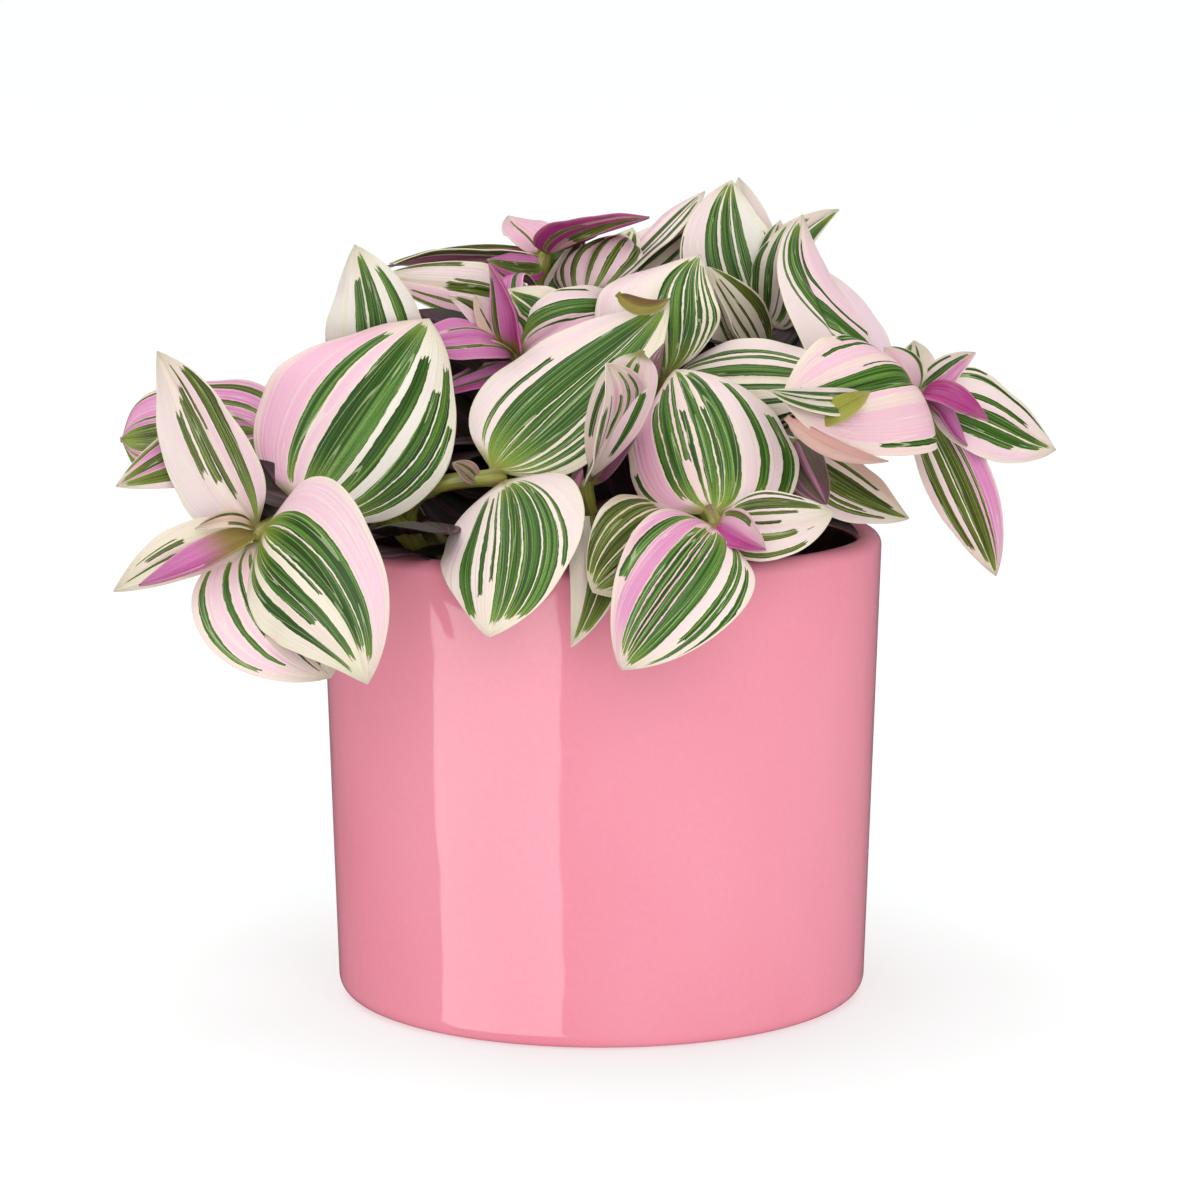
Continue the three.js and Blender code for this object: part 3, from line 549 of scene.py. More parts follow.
def opaque(colour, level=1.0):
    """A colour as the four numbers that a socket takes, brighter or darker by the level."""
    return (*(min(1.0, c * level) for c in colour), 1.0)


def per_metre(*sizes):
    """How many cells of these sizes in mm, along X, Y and Z, fit in a metre."""
    return tuple(1 / (size * MM) for size in sizes)


def add_node(tree, kind, inputs=(), stops=(), stepped=False, **settings):
    """Adds a node with its settings and links, and returns its outputs.

    The inputs are values or outputs to link: a list for the first sockets, or a dict by socket.
    The stops are those of a colour ramp, which is stepped or smooth.
    """
    node = tree.nodes.new(f"ShaderNode{kind}")
    for name, value in settings.items():
        setattr(node, name, value)
    given = inputs.items() if isinstance(inputs, dict) else enumerate(inputs)
    for key, value in given:
        if isinstance(value, bpy.types.NodeSocket):
            tree.links.new(value, node.inputs[key])
        else:
            node.inputs[key].default_value = value
    if stops:
        ramp = node.color_ramp
        ramp.interpolation = "CONSTANT" if stepped else "LINEAR"
        while len(ramp.elements) > 1:
            ramp.elements.remove(ramp.elements[-1])
        ramp.elements[0].position, ramp.elements[0].color = stops[0]
        for position, colour in stops[1:]:
            ramp.elements.new(position).color = colour
    return node.outputs


def new_material(name, roughness, **sockets):
    """An empty material with its shader: returns the material, its tree and the shader."""
    material = bpy.data.materials.new(name)
    material.use_nodes = True
    shader = material.node_tree.nodes["Principled BSDF"]
    shader.inputs["Roughness"].default_value = roughness
    for key, value in sockets.items():
        shader.inputs[key.replace("_", " ")].default_value = value
    return material, material.node_tree, shader


def finish_material(tree, shader, colour, height, relief):
    """Links a colour to the shader, and a height pattern through a bump of that many metres."""
    tree.links.new(colour, shader.inputs["Base Color"])
    inputs = {"Height": height, "Strength": 1.0, "Distance": relief}
    tree.links.new(add_node(tree, "Bump", inputs)[0], shader.inputs["Normal"])


def drawn_noise(tree, source, scale, shift=0.0, detail=2.0):
    """Noise of a coordinate stretched by a scale per axis, so that its grain runs along one."""
    inputs = {"Vector": source, "Location": (shift, shift, shift), "Scale": scale}
    placed = add_node(tree, "Mapping", inputs)[0]
    return add_node(tree, "TexNoise", {"Vector": placed, "Scale": 1.0, "Detail": detail})[0]


def layered(tree, colour, layers):
    """A colour with others laid over it, which are a leaf's markings.

    A layer is a source, the two values of it between which the layer's share of the colour
    changes smoothly, its share before and after that, and its own colour.
    """
    for source, low, high, before, after, over in layers:
        inputs = [source, low, high, before, after]
        share = add_node(tree, "MapRange", inputs, interpolation_type="SMOOTHSTEP")[0]
        colour = add_node(tree, "Mix", {0: share, 6: colour, 7: over}, data_type="RGBA")[2]
    return colour


def glaze_material(colours):
    """Glossy pink glaze over white stoneware: a clear wet gloss over a faintly cloudy colour.

    The clouds are about 60 mm across and the grain is 1 mm. The glaze has run in 20 mm waves.
    """
    material, tree, shader = new_material(
        "pink_stoneware_glaze", 0.07, IOR=1.5, Specular_IOR_Level=0.32
    )
    place = add_node(tree, "TexCoord")["Object"]
    cloud = drawn_noise(tree, place, per_metre(62.5, 62.5, 111))
    speckle = drawn_noise(tree, place, per_metre(1.11, 1.11, 1.11), 3.0)
    mixed = add_node(tree, "Math", [speckle, 0.25, cloud], operation="MULTIPLY_ADD")[0]
    stops = [
        (0.3, opaque(colours.glaze_deep)),
        (0.62, opaque(colours.glaze)),
        (0.9, opaque(colours.glaze_pale)),
    ]
    colour = add_node(tree, "ValToRGB", [mixed], stops)[0]
    wave = drawn_noise(tree, place, per_metre(18.2, 18.2, 35.7), 7.0)
    finish_material(tree, shader, colour, wave, 0.00035)
    return material


def inner_glaze_material(colours):
    """Dark brown liner glaze inside the pot: nearly black, with a soft shine where it is thin.

    It is cloudy, about 17 mm from one dark patch to the next.
    """
    material, tree, shader = new_material("dark_brown_liner_glaze", 0.3, IOR=1.5)
    place = add_node(tree, "TexCoord")["Object"]
    cloud = drawn_noise(tree, place, per_metre(16.7, 16.7, 16.7), detail=3.0)
    stops = [(0.35, opaque(colours.liner_glaze, 0.5)), (0.65, opaque(colours.liner_glaze))]
    colour = add_node(tree, "ValToRGB", [cloud], stops)[0]
    finish_material(tree, shader, colour, cloud, 0.0003)
    return material


def plastic_material(colours):
    """Thin black-brown polypropylene, moulded: a dull sheen with fine flow marks 4 mm high."""
    material, tree, shader = new_material("moulded_dark_polypropylene", 0.42, IOR=1.49)
    place = add_node(tree, "TexCoord")["Object"]
    flow = drawn_noise(tree, place, per_metre(25, 25, 3.85))
    stops = [(0.3, opaque(colours.plastic, 0.6)), (0.7, opaque(colours.plastic))]
    colour = add_node(tree, "ValToRGB", [flow], stops)[0]
    finish_material(tree, shader, colour, flow, 0.0002)
    return material


def soil_material(colours):
    """Moist peat mix: dark crumbs 3 mm across, with paler fibres between them."""
    material, tree, shader = new_material("moist_peat_mix", 0.85, IOR=1.4)
    place = add_node(tree, "TexCoord")["Object"]
    crumbs = drawn_noise(tree, place, per_metre(3.125, 3.125, 3.125), detail=6.0)
    stops = [
        (0.35, opaque(colours.soil, 0.3)),
        (0.55, opaque(colours.soil)),
        (0.72, opaque(colours.soil, 2.4)),
    ]
    colour = add_node(tree, "ValToRGB", [crumbs], stops)[0]
    finish_material(tree, shader, colour, crumbs, 0.0012)
    return material


def stem_material(colours):
    """Juicy green stem: a satin skin, darker in places, with purple streaks along it.

    The map counts turns round the stem and lengths of MAP_LENGTH along it, so the streaks are
    17 mm long, five of them side by side, and the fine ones are 13 mm long.
    """
    material, tree, shader = new_material(
        "satin_green_stem", 0.38, IOR=1.42, Subsurface_Weight=0.15, Subsurface_Scale=0.002
    )
    place = add_node(tree, "UVMap", uv_map="leaf")[0]
    streaks = drawn_noise(tree, place, (5, 2.4, 1))
    fine = drawn_noise(tree, place, (40, 3, 1), 5.0)
    mixed = add_node(tree, "Math", [fine, 0.25, streaks], operation="MULTIPLY_ADD")[0]
    stops = [
        (0.42, opaque(colours.stem, 0.4)),
        (0.62, opaque(colours.stem)),
        (0.84, opaque(colours.stem_flush)),
    ]
    colour = add_node(tree, "ValToRGB", [mixed], stops)[0]
    finish_material(tree, shader, colour, fine, 0.0002)
    return material


WAVER, TREMBLE = 0.045, 0.012  # how far a stripe's edge strays, in shares of the leaf's width
RAGGED = 0.12  # how far the stripes' ends stray, in shares of its length
STRIPE_EDGE = 0.011  # width of the dark line inside a stripe's edge and the cream one outside it
STRIPE_LIMIT = 0.965  # the share of the half width past which no stripe goes
SHORT_FOOT = 0.09  # how far the stem's green runs up a leaf that has no place in GREEN_FOOT
HAIRS = ((0.5, 0.012), (0.36, 0.009))  # values of the noise at a pale hair, and how far round them
MARGIN_START, TIP_START = 0.86, 0.72  # shares of the half width and the length
LOW_END, HIGH_END = 0.26, 0.78  # shares of the length past which the stripes turn young green
FAINT = 0.25  # how strongly the ground of a vivid leaf is marked


def stripe_stops(text):
    """Stops of a stepped ramp: red says green stripe or not, green and blue its start and end."""
    stops = [(0.0, (0, 0, 0, 1))]
    for stripe in text.split(","):
        if stripe:
            left, right, start, end = (float(n) / 100 for n in stripe.split())
            stops.append((0.5 + left / 2, (1, start, end, 1)))
            stops.append((0.5 + right / 2, (0, 0, 0, 1)))
    return stops


def leaf_material(name, left, right, stripes, seed, colours):
    """The striped upper skin of a leaf: satin, cream to pink, with green stripes along the veins.

    The piece's map gives the place across and along the leaf. A stepped ramp over the place
    across holds the stripes. Noise drawn out along the leaf makes their edges waver, and finer
    noise makes their ends ragged. Thin pale lines run through the green and the ground.
    """
    material, tree, shader = new_material(
        f"striped_leaf_{name}",
        0.4,
        IOR=1.42,
        Specular_IOR_Level=0.3,
        Subsurface_Weight=0.1,
        Subsurface_Scale=0.0015,
    )
    add = partial(add_node, tree)
    place = add("UVMap", uv_map="leaf")[0]
    across, along, _ = add("SeparateXYZ", [place])
    lane = add("Attribute", attribute_name="lane")["Fac"]
    from_rib = add("Math", [lane], operation="ABSOLUTE")[0]

    # The scales count cells on a leaf some 40 mm wide: 64 of them make a vein every 0.6 mm.
    waver = drawn_noise(tree, place, (9, 2.6, 1), seed)
    tremble = drawn_noise(tree, place, (70, 26, 1), seed + 3)
    ragged = drawn_noise(tree, place, (48, 3, 1), seed + 5)
    veins = drawn_noise(tree, place, (64, 0.9, 1), seed + 7, detail=3.0)
    lines = drawn_noise(tree, place, (17, 0.8, 1), seed + 9, detail=0.0)
    patches = drawn_noise(tree, place, (3.2, 1.7, 1), seed + 11)
    cells = drawn_noise(tree, place, (150, 110, 1), seed + 13)

    # The ramp is read at the place itself and a little to both sides of it.
    strayed = add("Math", [waver, WAVER, across], operation="MULTIPLY_ADD")[0]
    strayed = add("Math", [tremble, TREMBLE, strayed], operation="MULTIPLY_ADD")[0]
    bands = []
    for step in (-STRIPE_EDGE, 0, STRIPE_EDGE):
        centred = step - (WAVER + TREMBLE) / 2
        spot = add("Math", [strayed, centred], operation="ADD")[0]
        colour = add("ValToRGB", [spot], stripe_stops(stripes), stepped=True)[0]
        bands.append(add("SeparateColor", [colour]))
    before, band, after = bands
    core = add("Math", [before[0], after[0]], operation="MULTIPLY")[0]
    beside = add("Math", [before[0], after[0]], operation="MAXIMUM")[0]

    reach = add("Math", [ragged, RAGGED, along], operation="MULTIPLY_ADD")[0]
    reach = add("Math", [reach, RAGGED / 2], operation="SUBTRACT")[0]
    begun = add("Math", [reach, band[1]], operation="GREATER_THAN")[0]
    unended = add("Math", [reach, band[2]], operation="LESS_THAN")[0]
    inside = add("Math", [from_rib, STRIPE_LIMIT], operation="LESS_THAN")[0]
    striped = band[0]
    for limit in (begun, unended, inside):
        striped = add("Math", [striped, limit], operation="MULTIPLY")[0]

    # Pale hairs lie where a noise passes one of two values.
    hairs = [add("Math", [lines, *values], operation="COMPARE")[0] for values in HAIRS]
    hair = add("Math", hairs, operation="MAXIMUM")[0]

    margin = add("MapRange", [from_rib, MARGIN_START, 1.0])[0]
    tip = add("MapRange", [along, TIP_START, 1.0])[0]
    border = add("Math", [margin, tip], operation="MAXIMUM")[0]
    low_end = add("MapRange", [along, LOW_END, 0.0])[0]
    high_end = add("MapRange", [along, HIGH_END, 1.0])[0]
    ends = add("Math", [low_end, high_end], operation="MAXIMUM")[0]

    olive = name in OLIVE_GREEN
    green = opaque(colours.olive if olive else colours.green)
    deep = opaque(colours.olive_deep if olive else colours.green_deep)
    young, cream = opaque(colours.green_young), opaque(colours.margin)
    vein, flush = opaque(colours.vein), opaque(colours.flush)
    calm = FAINT if name in VIVID else 1.0
    ground_layers = [
        (across, 0.22, 0.62, 0, 1, opaque(from_hex(right))),
        (patches, 0.48, 0.75, 0, 0.45 * calm, flush),
        (border, 0, 1, 0, 0.6 * calm, cream),
        (veins, 0.5, 0.72, 0, 0.42 * calm, vein),
        (hair, 0, 1, 0, 0.4 * calm, vein),
        (beside, 0, 1, 0, 0.45, cream),
        (cells, 0.45, 0.75, 0, 0.12 * calm, flush),
    ]
    stripe_layers = [
        (veins, 0.4, 0.62, 0, 1, green),
        (veins, 0.56, 0.74, 0, 0.55, young),
        (core, 0, 1, 0.55, 0, deep),
        (ends, 0, 1, 0, 0.75, young),
        (hair, 0, 1, 0, 0.55, opaque(colours.green_pale)),
        (cells, 0.4, 0.7, 0, 0.35, deep),
        # Painted shade: the stripes are darker along the midrib, where its groove lies.
        (from_rib, 0, 0.03, 0.35, 0, deep),
    ]
    ground = layered(tree, opaque(from_hex(left)), ground_layers)
    stripe = layered(tree, deep, stripe_layers)
    foot = GREEN_FOOT.get(name, SHORT_FOOT)
    foot_green = opaque(colours.foot if name in GREEN_FOOT else colours.stem)
    skin_layers = [
        (striped, 0, 1, 0, 1, stripe),
        (along, foot * 0.3, foot, 0.85, 0, foot_green),
    ]
    colour = layered(tree, ground, skin_layers)
    height = add("Math", [cells, 0.25, veins], operation="MULTIPLY_ADD")[0]
    finish_material(tree, shader, colour, height, 0.0003)
    return material


def underside_material(colours, name="purple_leaf_underside", shade=1.0):
    """The lower skin of a leaf: purple-pink and softly matt, with dull green bands.

    On a leaf 40 mm wide the bands are 4 mm apart and the veins 1 mm. A shade under one darkens
    it: painted shade for leaves deep inside the plant.
    """
    material, tree, shader = new_material(
        name, 0.5, IOR=1.42, Subsurface_Weight=0.12, Subsurface_Scale=0.0015
    )
    place = add_node(tree, "UVMap", uv_map="leaf")[0]
    bands = drawn_noise(tree, place, (9, 0.7, 1), 2.0)
    veins = drawn_noise(tree, place, (46, 1.3, 1), 4.0)
    mixed = add_node(tree, "Math", [veins, 0.3, bands], operation="MULTIPLY_ADD")[0]
    stops = [
        (0.5, opaque(colours.underside_pale, shade)),
        (0.64, opaque(colours.underside, shade)),
        (0.74, opaque(colours.underside_green, shade)),
    ]
    colour = add_node(tree, "ValToRGB", [mixed], stops)[0]
    finish_material(tree, shader, colour, veins, 0.0002)
    return material


# ------------------------------------------------------------------ meshes from grids


def make_piece(name, points, faces, materials, slots=None, maps=None, lanes=None):
    """A smooth mesh object at the origin from points in metres, with its map and lane values."""
    mesh = bpy.data.meshes.new(name)
    mesh.from_pydata(points, [], faces)
    mesh.polygons.foreach_set("use_smooth", np.ones(len(mesh.polygons), bool))
    for material in materials:
        mesh.materials.append(material)
    if slots is not None:
        mesh.polygons.foreach_set("material_index", slots)
    if maps is not None:
        corners = np.empty(len(mesh.loops), np.int32)
        mesh.loops.foreach_get("vertex_index", corners)
        layer = mesh.uv_layers.new(name="leaf")
        layer.uv.foreach_set("vector", maps[corners].astype(np.float32).ravel())
    if lanes is not None:
        attribute = mesh.attributes.new("lane", "FLOAT", "POINT")
        attribute.data.foreach_set("value", lanes.astype(np.float32))
    mesh.update()
    mesh.validate()
    piece = bpy.data.objects.new(name, mesh)
    bpy.context.scene.collection.objects.link(piece)
    return piece


def grid_quads(rows, columns, closed=False):
    """Quads between a grid's neighbouring points; a closed grid's last column joins its first."""
    i, j = np.meshgrid(
        np.arange(rows - 1), np.arange(columns if closed else columns - 1), indexing="ij"
    )
    after = (j + 1) % columns
    corners = [
        i * columns + j,
        i * columns + after,
        (i + 1) * columns + after,
        (i + 1) * columns + j,
    ]
    return np.stack(corners, -1).reshape(-1, 4)


def capped_faces(rows, columns, first_point=0):
    """Faces of a grid that is closed round its columns and by one more point at each end.

    The quads come first, then the triangles at the first row and then those at the last. Both
    end points come after the grid's own points.
    """
    here = np.arange(columns)
    after = (here + 1) % columns
    count, last = rows * columns, (rows - 1) * columns
    quads = grid_quads(rows, columns, closed=True)
    start = np.stack([np.full(columns, count), after, here], -1)
    end = np.stack([np.full(columns, count + 1), last + here, last + after], -1)
    return [face for part in (quads, start, end) for face in (part + first_point).tolist()]


def turned_piece(name, profile, segments, materials, inner_from=np.inf):
    """A body turned about Z: every point of a profile of radius and height goes round the axis.

    The profile runs from the axis to the axis, outside first, and its ends become single points.
    From the profile's point inner_from on, the second material takes over.
    """
    radius, height = np.array(profile[1:-1], float).T
    angle = np.linspace(0, 2 * np.pi, segments, endpoint=False)
    ring = [
        np.outer(radius, np.cos(angle)),
        np.outer(radius, np.sin(angle)),
        np.outer(height, np.ones(segments)),
    ]
    ends = [(0, 0, profile[0][1]), (0, 0, profile[-1][1])]
    points = np.vstack([np.stack(ring, -1).reshape(-1, 3), ends])
    steps = np.concatenate([np.arange(len(radius) - 1), [0, len(radius)]])
    slots = (np.repeat(steps, segments) >= inner_from).astype(np.int32)
    return make_piece(name, points, capped_faces(len(radius), segments), materials, slots)


def arc(radius, height, size, start, end, steps):
    """Points of a profile on an arc about a centre, from one angle to another in degrees."""
    turn = np.radians(np.linspace(start, end, steps + 1))
    return list(zip(radius + size * np.cos(turn), height + size * np.sin(turn)))


def cubic(points, t):
    """Points of the cubic curve with these four control points at the shares t."""
    s = 1 - t
    return np.stack([s**3, 3 * s * s * t, 3 * s * t * t, t**3], -1) @ points


def cubic_slope(points, t):
    """Direction of the cubic curve at the shares t, one long."""
    s = 1 - t
    slope = np.stack(
        [-3 * s * s, 3 * s * s - 6 * s * t, 6 * s * t - 3 * t * t, 3 * t * t], -1
    )
    return unit(slope @ points)


def unit(vectors):
    """Vectors made one long."""
    return vectors / np.linalg.norm(vectors, axis=-1, keepdims=True)


# ------------------------------------------------------------------ stems

STEM_SIDES = 16
STEM_STEPS = 44
JOINT_SPACING = 17.0  # mm from one node of the stem to the next
JOINT_SWELL = 0.16  # share of the radius
JOINT_SPREAD = 1.6  # mm
TIP_RINGS = (30, 60, 80)  # degrees from the stem's end to its pole
MAP_LENGTH = 40  # mm of stem to one unit of its map


def tube(row, first_point):
    """One shoot's skin in mm: rings round a cubic centre line, swollen at the nodes.

    The radius runs evenly from start to end, times one plus a bell at every node.
    A flat start and a round tip close it. Returns points, faces and map.
    """
    start, end = row[0], row[1]
    control = np.array(row[2:], float)
    t = np.linspace(0, 1, STEM_STEPS + 1)
    centre, along = cubic(control, t), cubic_slope(control, t)
    steps = np.linalg.norm(np.diff(centre, axis=0), axis=1)
    length = np.concatenate([[0], np.cumsum(steps)])
    to_joint = (length + JOINT_SPACING / 2) % JOINT_SPACING - JOINT_SPACING / 2
    swell = 1 + JOINT_SWELL * np.exp(-((to_joint / JOINT_SPREAD) ** 2))
    radius = (start + (end - start) * t) * swell
    cap = np.radians(TIP_RINGS)
    pole = centre[-1] + end * along[-1]
    centre = np.vstack([centre, centre[-1] + np.outer(np.sin(cap) * end, along[-1])])
    radius = np.concatenate([radius, end * np.cos(cap)])
    length = np.concatenate([length, length[-1] + end * np.sin(cap)])
    along = np.vstack([along, np.repeat(along[-1:], len(cap), 0)])
    across = unit(np.cross(along, np.cross((1.0, 0, 0), along)))
    third = np.cross(along, across)
    angle = np.linspace(0, 2 * np.pi, STEM_SIDES, endpoint=False)
    ring = (
        centre[:, None]
        + radius[:, None, None] * np.cos(angle)[None, :, None] * across[:, None]
        + radius[:, None, None] * np.sin(angle)[None, :, None] * third[:, None]
    )
    points = np.vstack([ring.reshape(-1, 3), centre[:1], [pole]])
    faces = capped_faces(len(centre), STEM_SIDES, first_point)
    around = np.broadcast_to(angle / (2 * np.pi), ring.shape[:2])
    lengthways = np.broadcast_to((length / MAP_LENGTH)[:, None], ring.shape[:2])
    maps = np.stack([around, lengthways], -1).reshape(-1, 2)
    return points, faces, np.vstack([maps, [(0.5, 0), (0.5, lengthways.max())]])


def stem_piece(name, rows, material):
    """A shoot with its side shoots, each a tube of its own."""
    points, faces, maps = [], [], []
    for row in rows:
        skin, sides, places = tube(row, sum(len(p) for p in points))
        points.append(skin)
        faces += sides
        maps.append(places)
    return make_piece(
        name, np.vstack(points) * MM, faces, [material], maps=np.vstack(maps)
    )


# ------------------------------------------------------------------ leaves

SEAT_STEPS = 80
KEEL_SPREAD = 0.1  # share of half the width
KEELED_WIDTH = 24  # mm; narrower leaves have a shallower groove
BUD_WIDTH = 8  # mm; narrower leaves are still rolled up
BUD_CUP = 60  # degrees
FLAT_CUP = 0.01  # radians, for a leaf without a cup
ROOT_HALF_WIDTH, TIP_HALF_WIDTH = 0.65, 0.15  # mm
RISE, FALL, SHOULDER = 0.55, 0.85, 0.05  # powers of the outline, and where its base is rounded
EDGE_SHARE = 0.4  # thickness at the margin, as a share of the leaf's own
STATION_CROWDING, LANE_CROWDING = 1.15, 0.78
WAVES_RIGHT, WAVES_LEFT, RIPPLES = 1.6, 1.9, 4.3  # along each margin
RIPPLE_SHARE = 0.25  # height of the ripples, as a share of the waves
CALM_ENDS = 0.7  # power with which the waves die away towards both ends


def half_width(width, u):
    """Half the width at u along the leaf: full towards the base and drawn out to a point."""
    widest = RISE / (RISE + FALL)
    rise = (u / widest) ** RISE
    fall = ((1 - u) / (1 - widest)) ** FALL
    least = ROOT_HALF_WIDTH * (1 - u) + TIP_HALF_WIDTH
    return np.maximum(0.5 * width * rise * fall * np.tanh(u / SHOULDER), least)


def midrib(base, tip, face, arch1, arch2, sweep):
    """Control points of the midrib, which arches towards the face and sweeps sideways."""
    chord = tip - base
    direction = unit(chord)
    up = unit(face - (face @ direction) * direction)
    side = np.cross(direction, up)
    first = base + chord / 3 + up * arch1 + side * sweep
    second = base + chord * 2 / 3 + up * arch2 + side * sweep
    return np.array([base, first, second, tip]), side


def seated_base(leaf, rows, sink):
    """The base moved along the line from the shoot's axis until it is that far inside its skin."""
    base, tip, face = (np.array(leaf[k], float) for k in (1, 2, 3))
    t = np.linspace(0, 1, SEAT_STEPS + 1)
    nearest = np.inf
    for row in rows:
        axis = cubic(np.array(row[2:], float), t)
        radius = row[0] + (row[1] - row[0]) * t
        room = np.linalg.norm(axis - base, axis=1) - radius
        best = room.argmin()
        if room[best] < nearest:
            nearest, seat, reach = room[best], axis[best], radius[best]
    outward = unit(base - seat)
    _, side = midrib(base, tip, face, *leaf[5:8])
    return seat + outward * (reach - sink + ROOT_HALF_WIDTH * abs(side @ outward))


def spaced(count, crowding):
    """Places from -1 to 1, crowded at the middle and at both ends."""
    s = np.linspace(-1, 1, count)
    return s - crowding * np.sin(2 * np.pi * s) / (2 * np.pi)


def margin_waves(width, wave, seed, u, v):
    """How far a blade's points are lifted by the waves of its margins, in mm.

    A sine along the leaf times the place across squared, of another length on each side, plus a
    quicker sine times the place across to the fourth. All of it dies away towards both ends.
    """
    phase = np.random.default_rng(seed).uniform(0, 2 * np.pi, 3)
    right, left, quick = (
        np.sin(2 * np.pi * count * u + start)[:, None]
        for count, start in zip((WAVES_RIGHT, WAVES_LEFT, RIPPLES), phase)
    )
    waves = right * np.clip(v, 0, 1) ** 2 + left * np.clip(-v, 0, 1) ** 2
    return width * wave * (waves + RIPPLE_SHARE * quick * v**4) * fade(u)


def fade(u):
    """A factor that is one in the middle of a leaf and dies away towards both ends."""
    return np.sin(np.pi * u)[:, None] ** CALM_ENDS


def leaf_shell(leaf, rows, sizes, seed, drift, first_point=0):
    """One leaf's points in mm, faces, slots, map and lanes: a thin shell about a curved blade.

    The blade's midrib is a cubic curve. Each cross-section is an arc across it, as wide as the
    outline is there, turned by the twist. The blade dips along the midrib as a bell over the
    place across, and its margins wave. Both skins lie half the thickness from the blade, less
    towards the margin. The map's place across leaves out the stripes' drift.
    """
    base = seated_base(leaf, rows, sizes.leaf_sink / MM) if rows else np.array(leaf[1], float)
    tip, face = np.array(leaf[2], float), np.array(leaf[3], float)
    width, arch1, arch2, sweep, cup, twist = leaf[4:]
    control, side = midrib(base, tip, face, arch1, arch2, sweep)
    u = np.linspace(0, 1, sizes.leaf_stations) ** STATION_CROWDING
    v = spaced(sizes.leaf_lanes, LANE_CROWDING)
    centre, along = cubic(control, u), cubic_slope(control, u)
    across = unit(side - (along @ side)[:, None] * along)
    turn = (-radians(twist) * u)[:, None]
    across = across * np.cos(turn) + np.cross(along, across) * np.sin(turn)
    normal = np.cross(across, along)
    bend = radians(cup) if cup else FLAT_CUP
    arc_radius = half_width(width, u)[:, None] / bend
    angle = (bend * v)[None, :]
    outwards = (
        normal[:, None] * np.cos(angle)[..., None] - across[:, None] * np.sin(angle)[..., None]
    )
    blade = (
        centre[:, None]
        + across[:, None] * (arc_radius * np.sin(angle))[..., None]
        + normal[:, None] * (arc_radius * (1 - np.cos(angle)))[..., None]
    )
    lift = margin_waves(width, sizes.leaf_wave, seed, u, v)
    depth = sizes.leaf_keel / MM * min(1, width / KEELED_WIDTH)
    keel = -depth * np.exp(-((v / KEEL_SPREAD) ** 2)) * fade(u)
    blade = blade + outwards * (lift + keel)[..., None]
    thin = sizes.leaf_thickness / MM / 2 * (EDGE_SHARE + (1 - EDGE_SHARE) * (1 - v**4))
    upper = blade + outwards * thin[None, :, None]
    lower = blade - outwards * thin[None, :, None]
    points = np.vstack([upper.reshape(-1, 3), lower.reshape(-1, 3)])

    stations, lanes = len(u), len(v)
    under = stations * lanes
    quads = grid_quads(stations, lanes)
    below = quads[:, ::-1] + under
    index = np.arange(under).reshape(stations, lanes)
    loop = np.concatenate([index[:-1, 0], index[-1, :-1], index[:0:-1, -1], index[0, :0:-1]])
    after = np.roll(loop, -1)
    rim = np.stack([loop, after, after + under, loop + under], -1)
    faces = np.vstack([quads, below, rim]) + first_point
    slots = np.repeat([0, 1, 0], [len(quads), len(below), len(rim)]).astype(np.int32)

    lean, fan, bow = (amount / 100 for amount in drift)
    wander = lean * (u - 0.5) + bow * (u - 0.5) ** 2
    place = (v[None, :] - wander[:, None]) / (1 + fan * (u - 0.5))[:, None]
    maps = np.stack([0.5 + place / 2, np.broadcast_to(u[:, None], place.shape)], -1)
    maps = np.tile(maps.reshape(-1, 2), (2, 1))
    return points, faces, slots, maps, np.tile(v, 2 * stations)


def leaf_piece(name, blades, skins, sizes):
    """One mesh of some leaves, each given by its layout, its shoot's rows, a seed and a drift."""
    shells, count = [], 0
    for leaf, rows, seed, drift in blades:
        shells.append(leaf_shell(leaf, rows, sizes, seed, drift, count))
        count += len(shells[-1][0])
    points, faces, slots, maps, lanes = (np.concatenate(part) for part in zip(*shells))
    return make_piece(name, points * MM, faces.tolist(), skins, slots, maps, lanes)


FILLER_ARCHES = ((0.1, 0.2), (0.1, 0.22))  # shares of the length
FILLER_SWEEPS = (-3, 3)  # mm
FILLER_CUPS, FILLER_TWISTS = (-28, -12), (-14, 14)  # degrees


def filler_leaf(entry, rng):
    """A leaf's layout from one entry of FILLERS, and the rows of its shoot.

    It starts on the shoot's axis at the share, runs along the heading and the elevation, faces
    upwards and arches over.
    """
    shoot, *numbers = entry.split()
    row, share, heading, elevation, length, width = (float(n) for n in numbers)
    rows = {**SHOOTS, **BACK_SHOOTS}[shoot]
    h, e = radians(heading), radians(elevation)
    out = np.array([cos(h) * cos(e), sin(h) * cos(e), sin(e)])
    up = np.array([-cos(h) * sin(e), -sin(h) * sin(e), cos(e)])
    base = cubic(np.array(rows[int(row)][2:], float), np.array([share / 100]))[0] + out
    cup = BUD_CUP if width < BUD_WIDTH else rng.uniform(*FILLER_CUPS)
    arches = [length * rng.uniform(*shares) for shares in FILLER_ARCHES]
    sweep, twist = rng.uniform(*FILLER_SWEEPS), rng.uniform(*FILLER_TWISTS)
    return ("", base, base + out * length, up, width, *arches, sweep, cup, twist), rows


MOST_STRIPES = 14  # a stripe takes two of the 32 stops that a ramp has room for
FIRST_EDGE, LAST_START, LAST_EDGE = -94.0, 90, 96
STRIPE_WIDTHS, STRIPE_GAPS = (5, 12), (3, 16)
MIDRIB_EXTRA, MIDRIB_SHARES = 16, (0.4, 1)  # how much wider a stripe gets towards the midrib
STRIPE_STARTS, STRIPE_ENDS = (3, 12), (62, 95)
STRIPE_LEANS = (-12, 12)


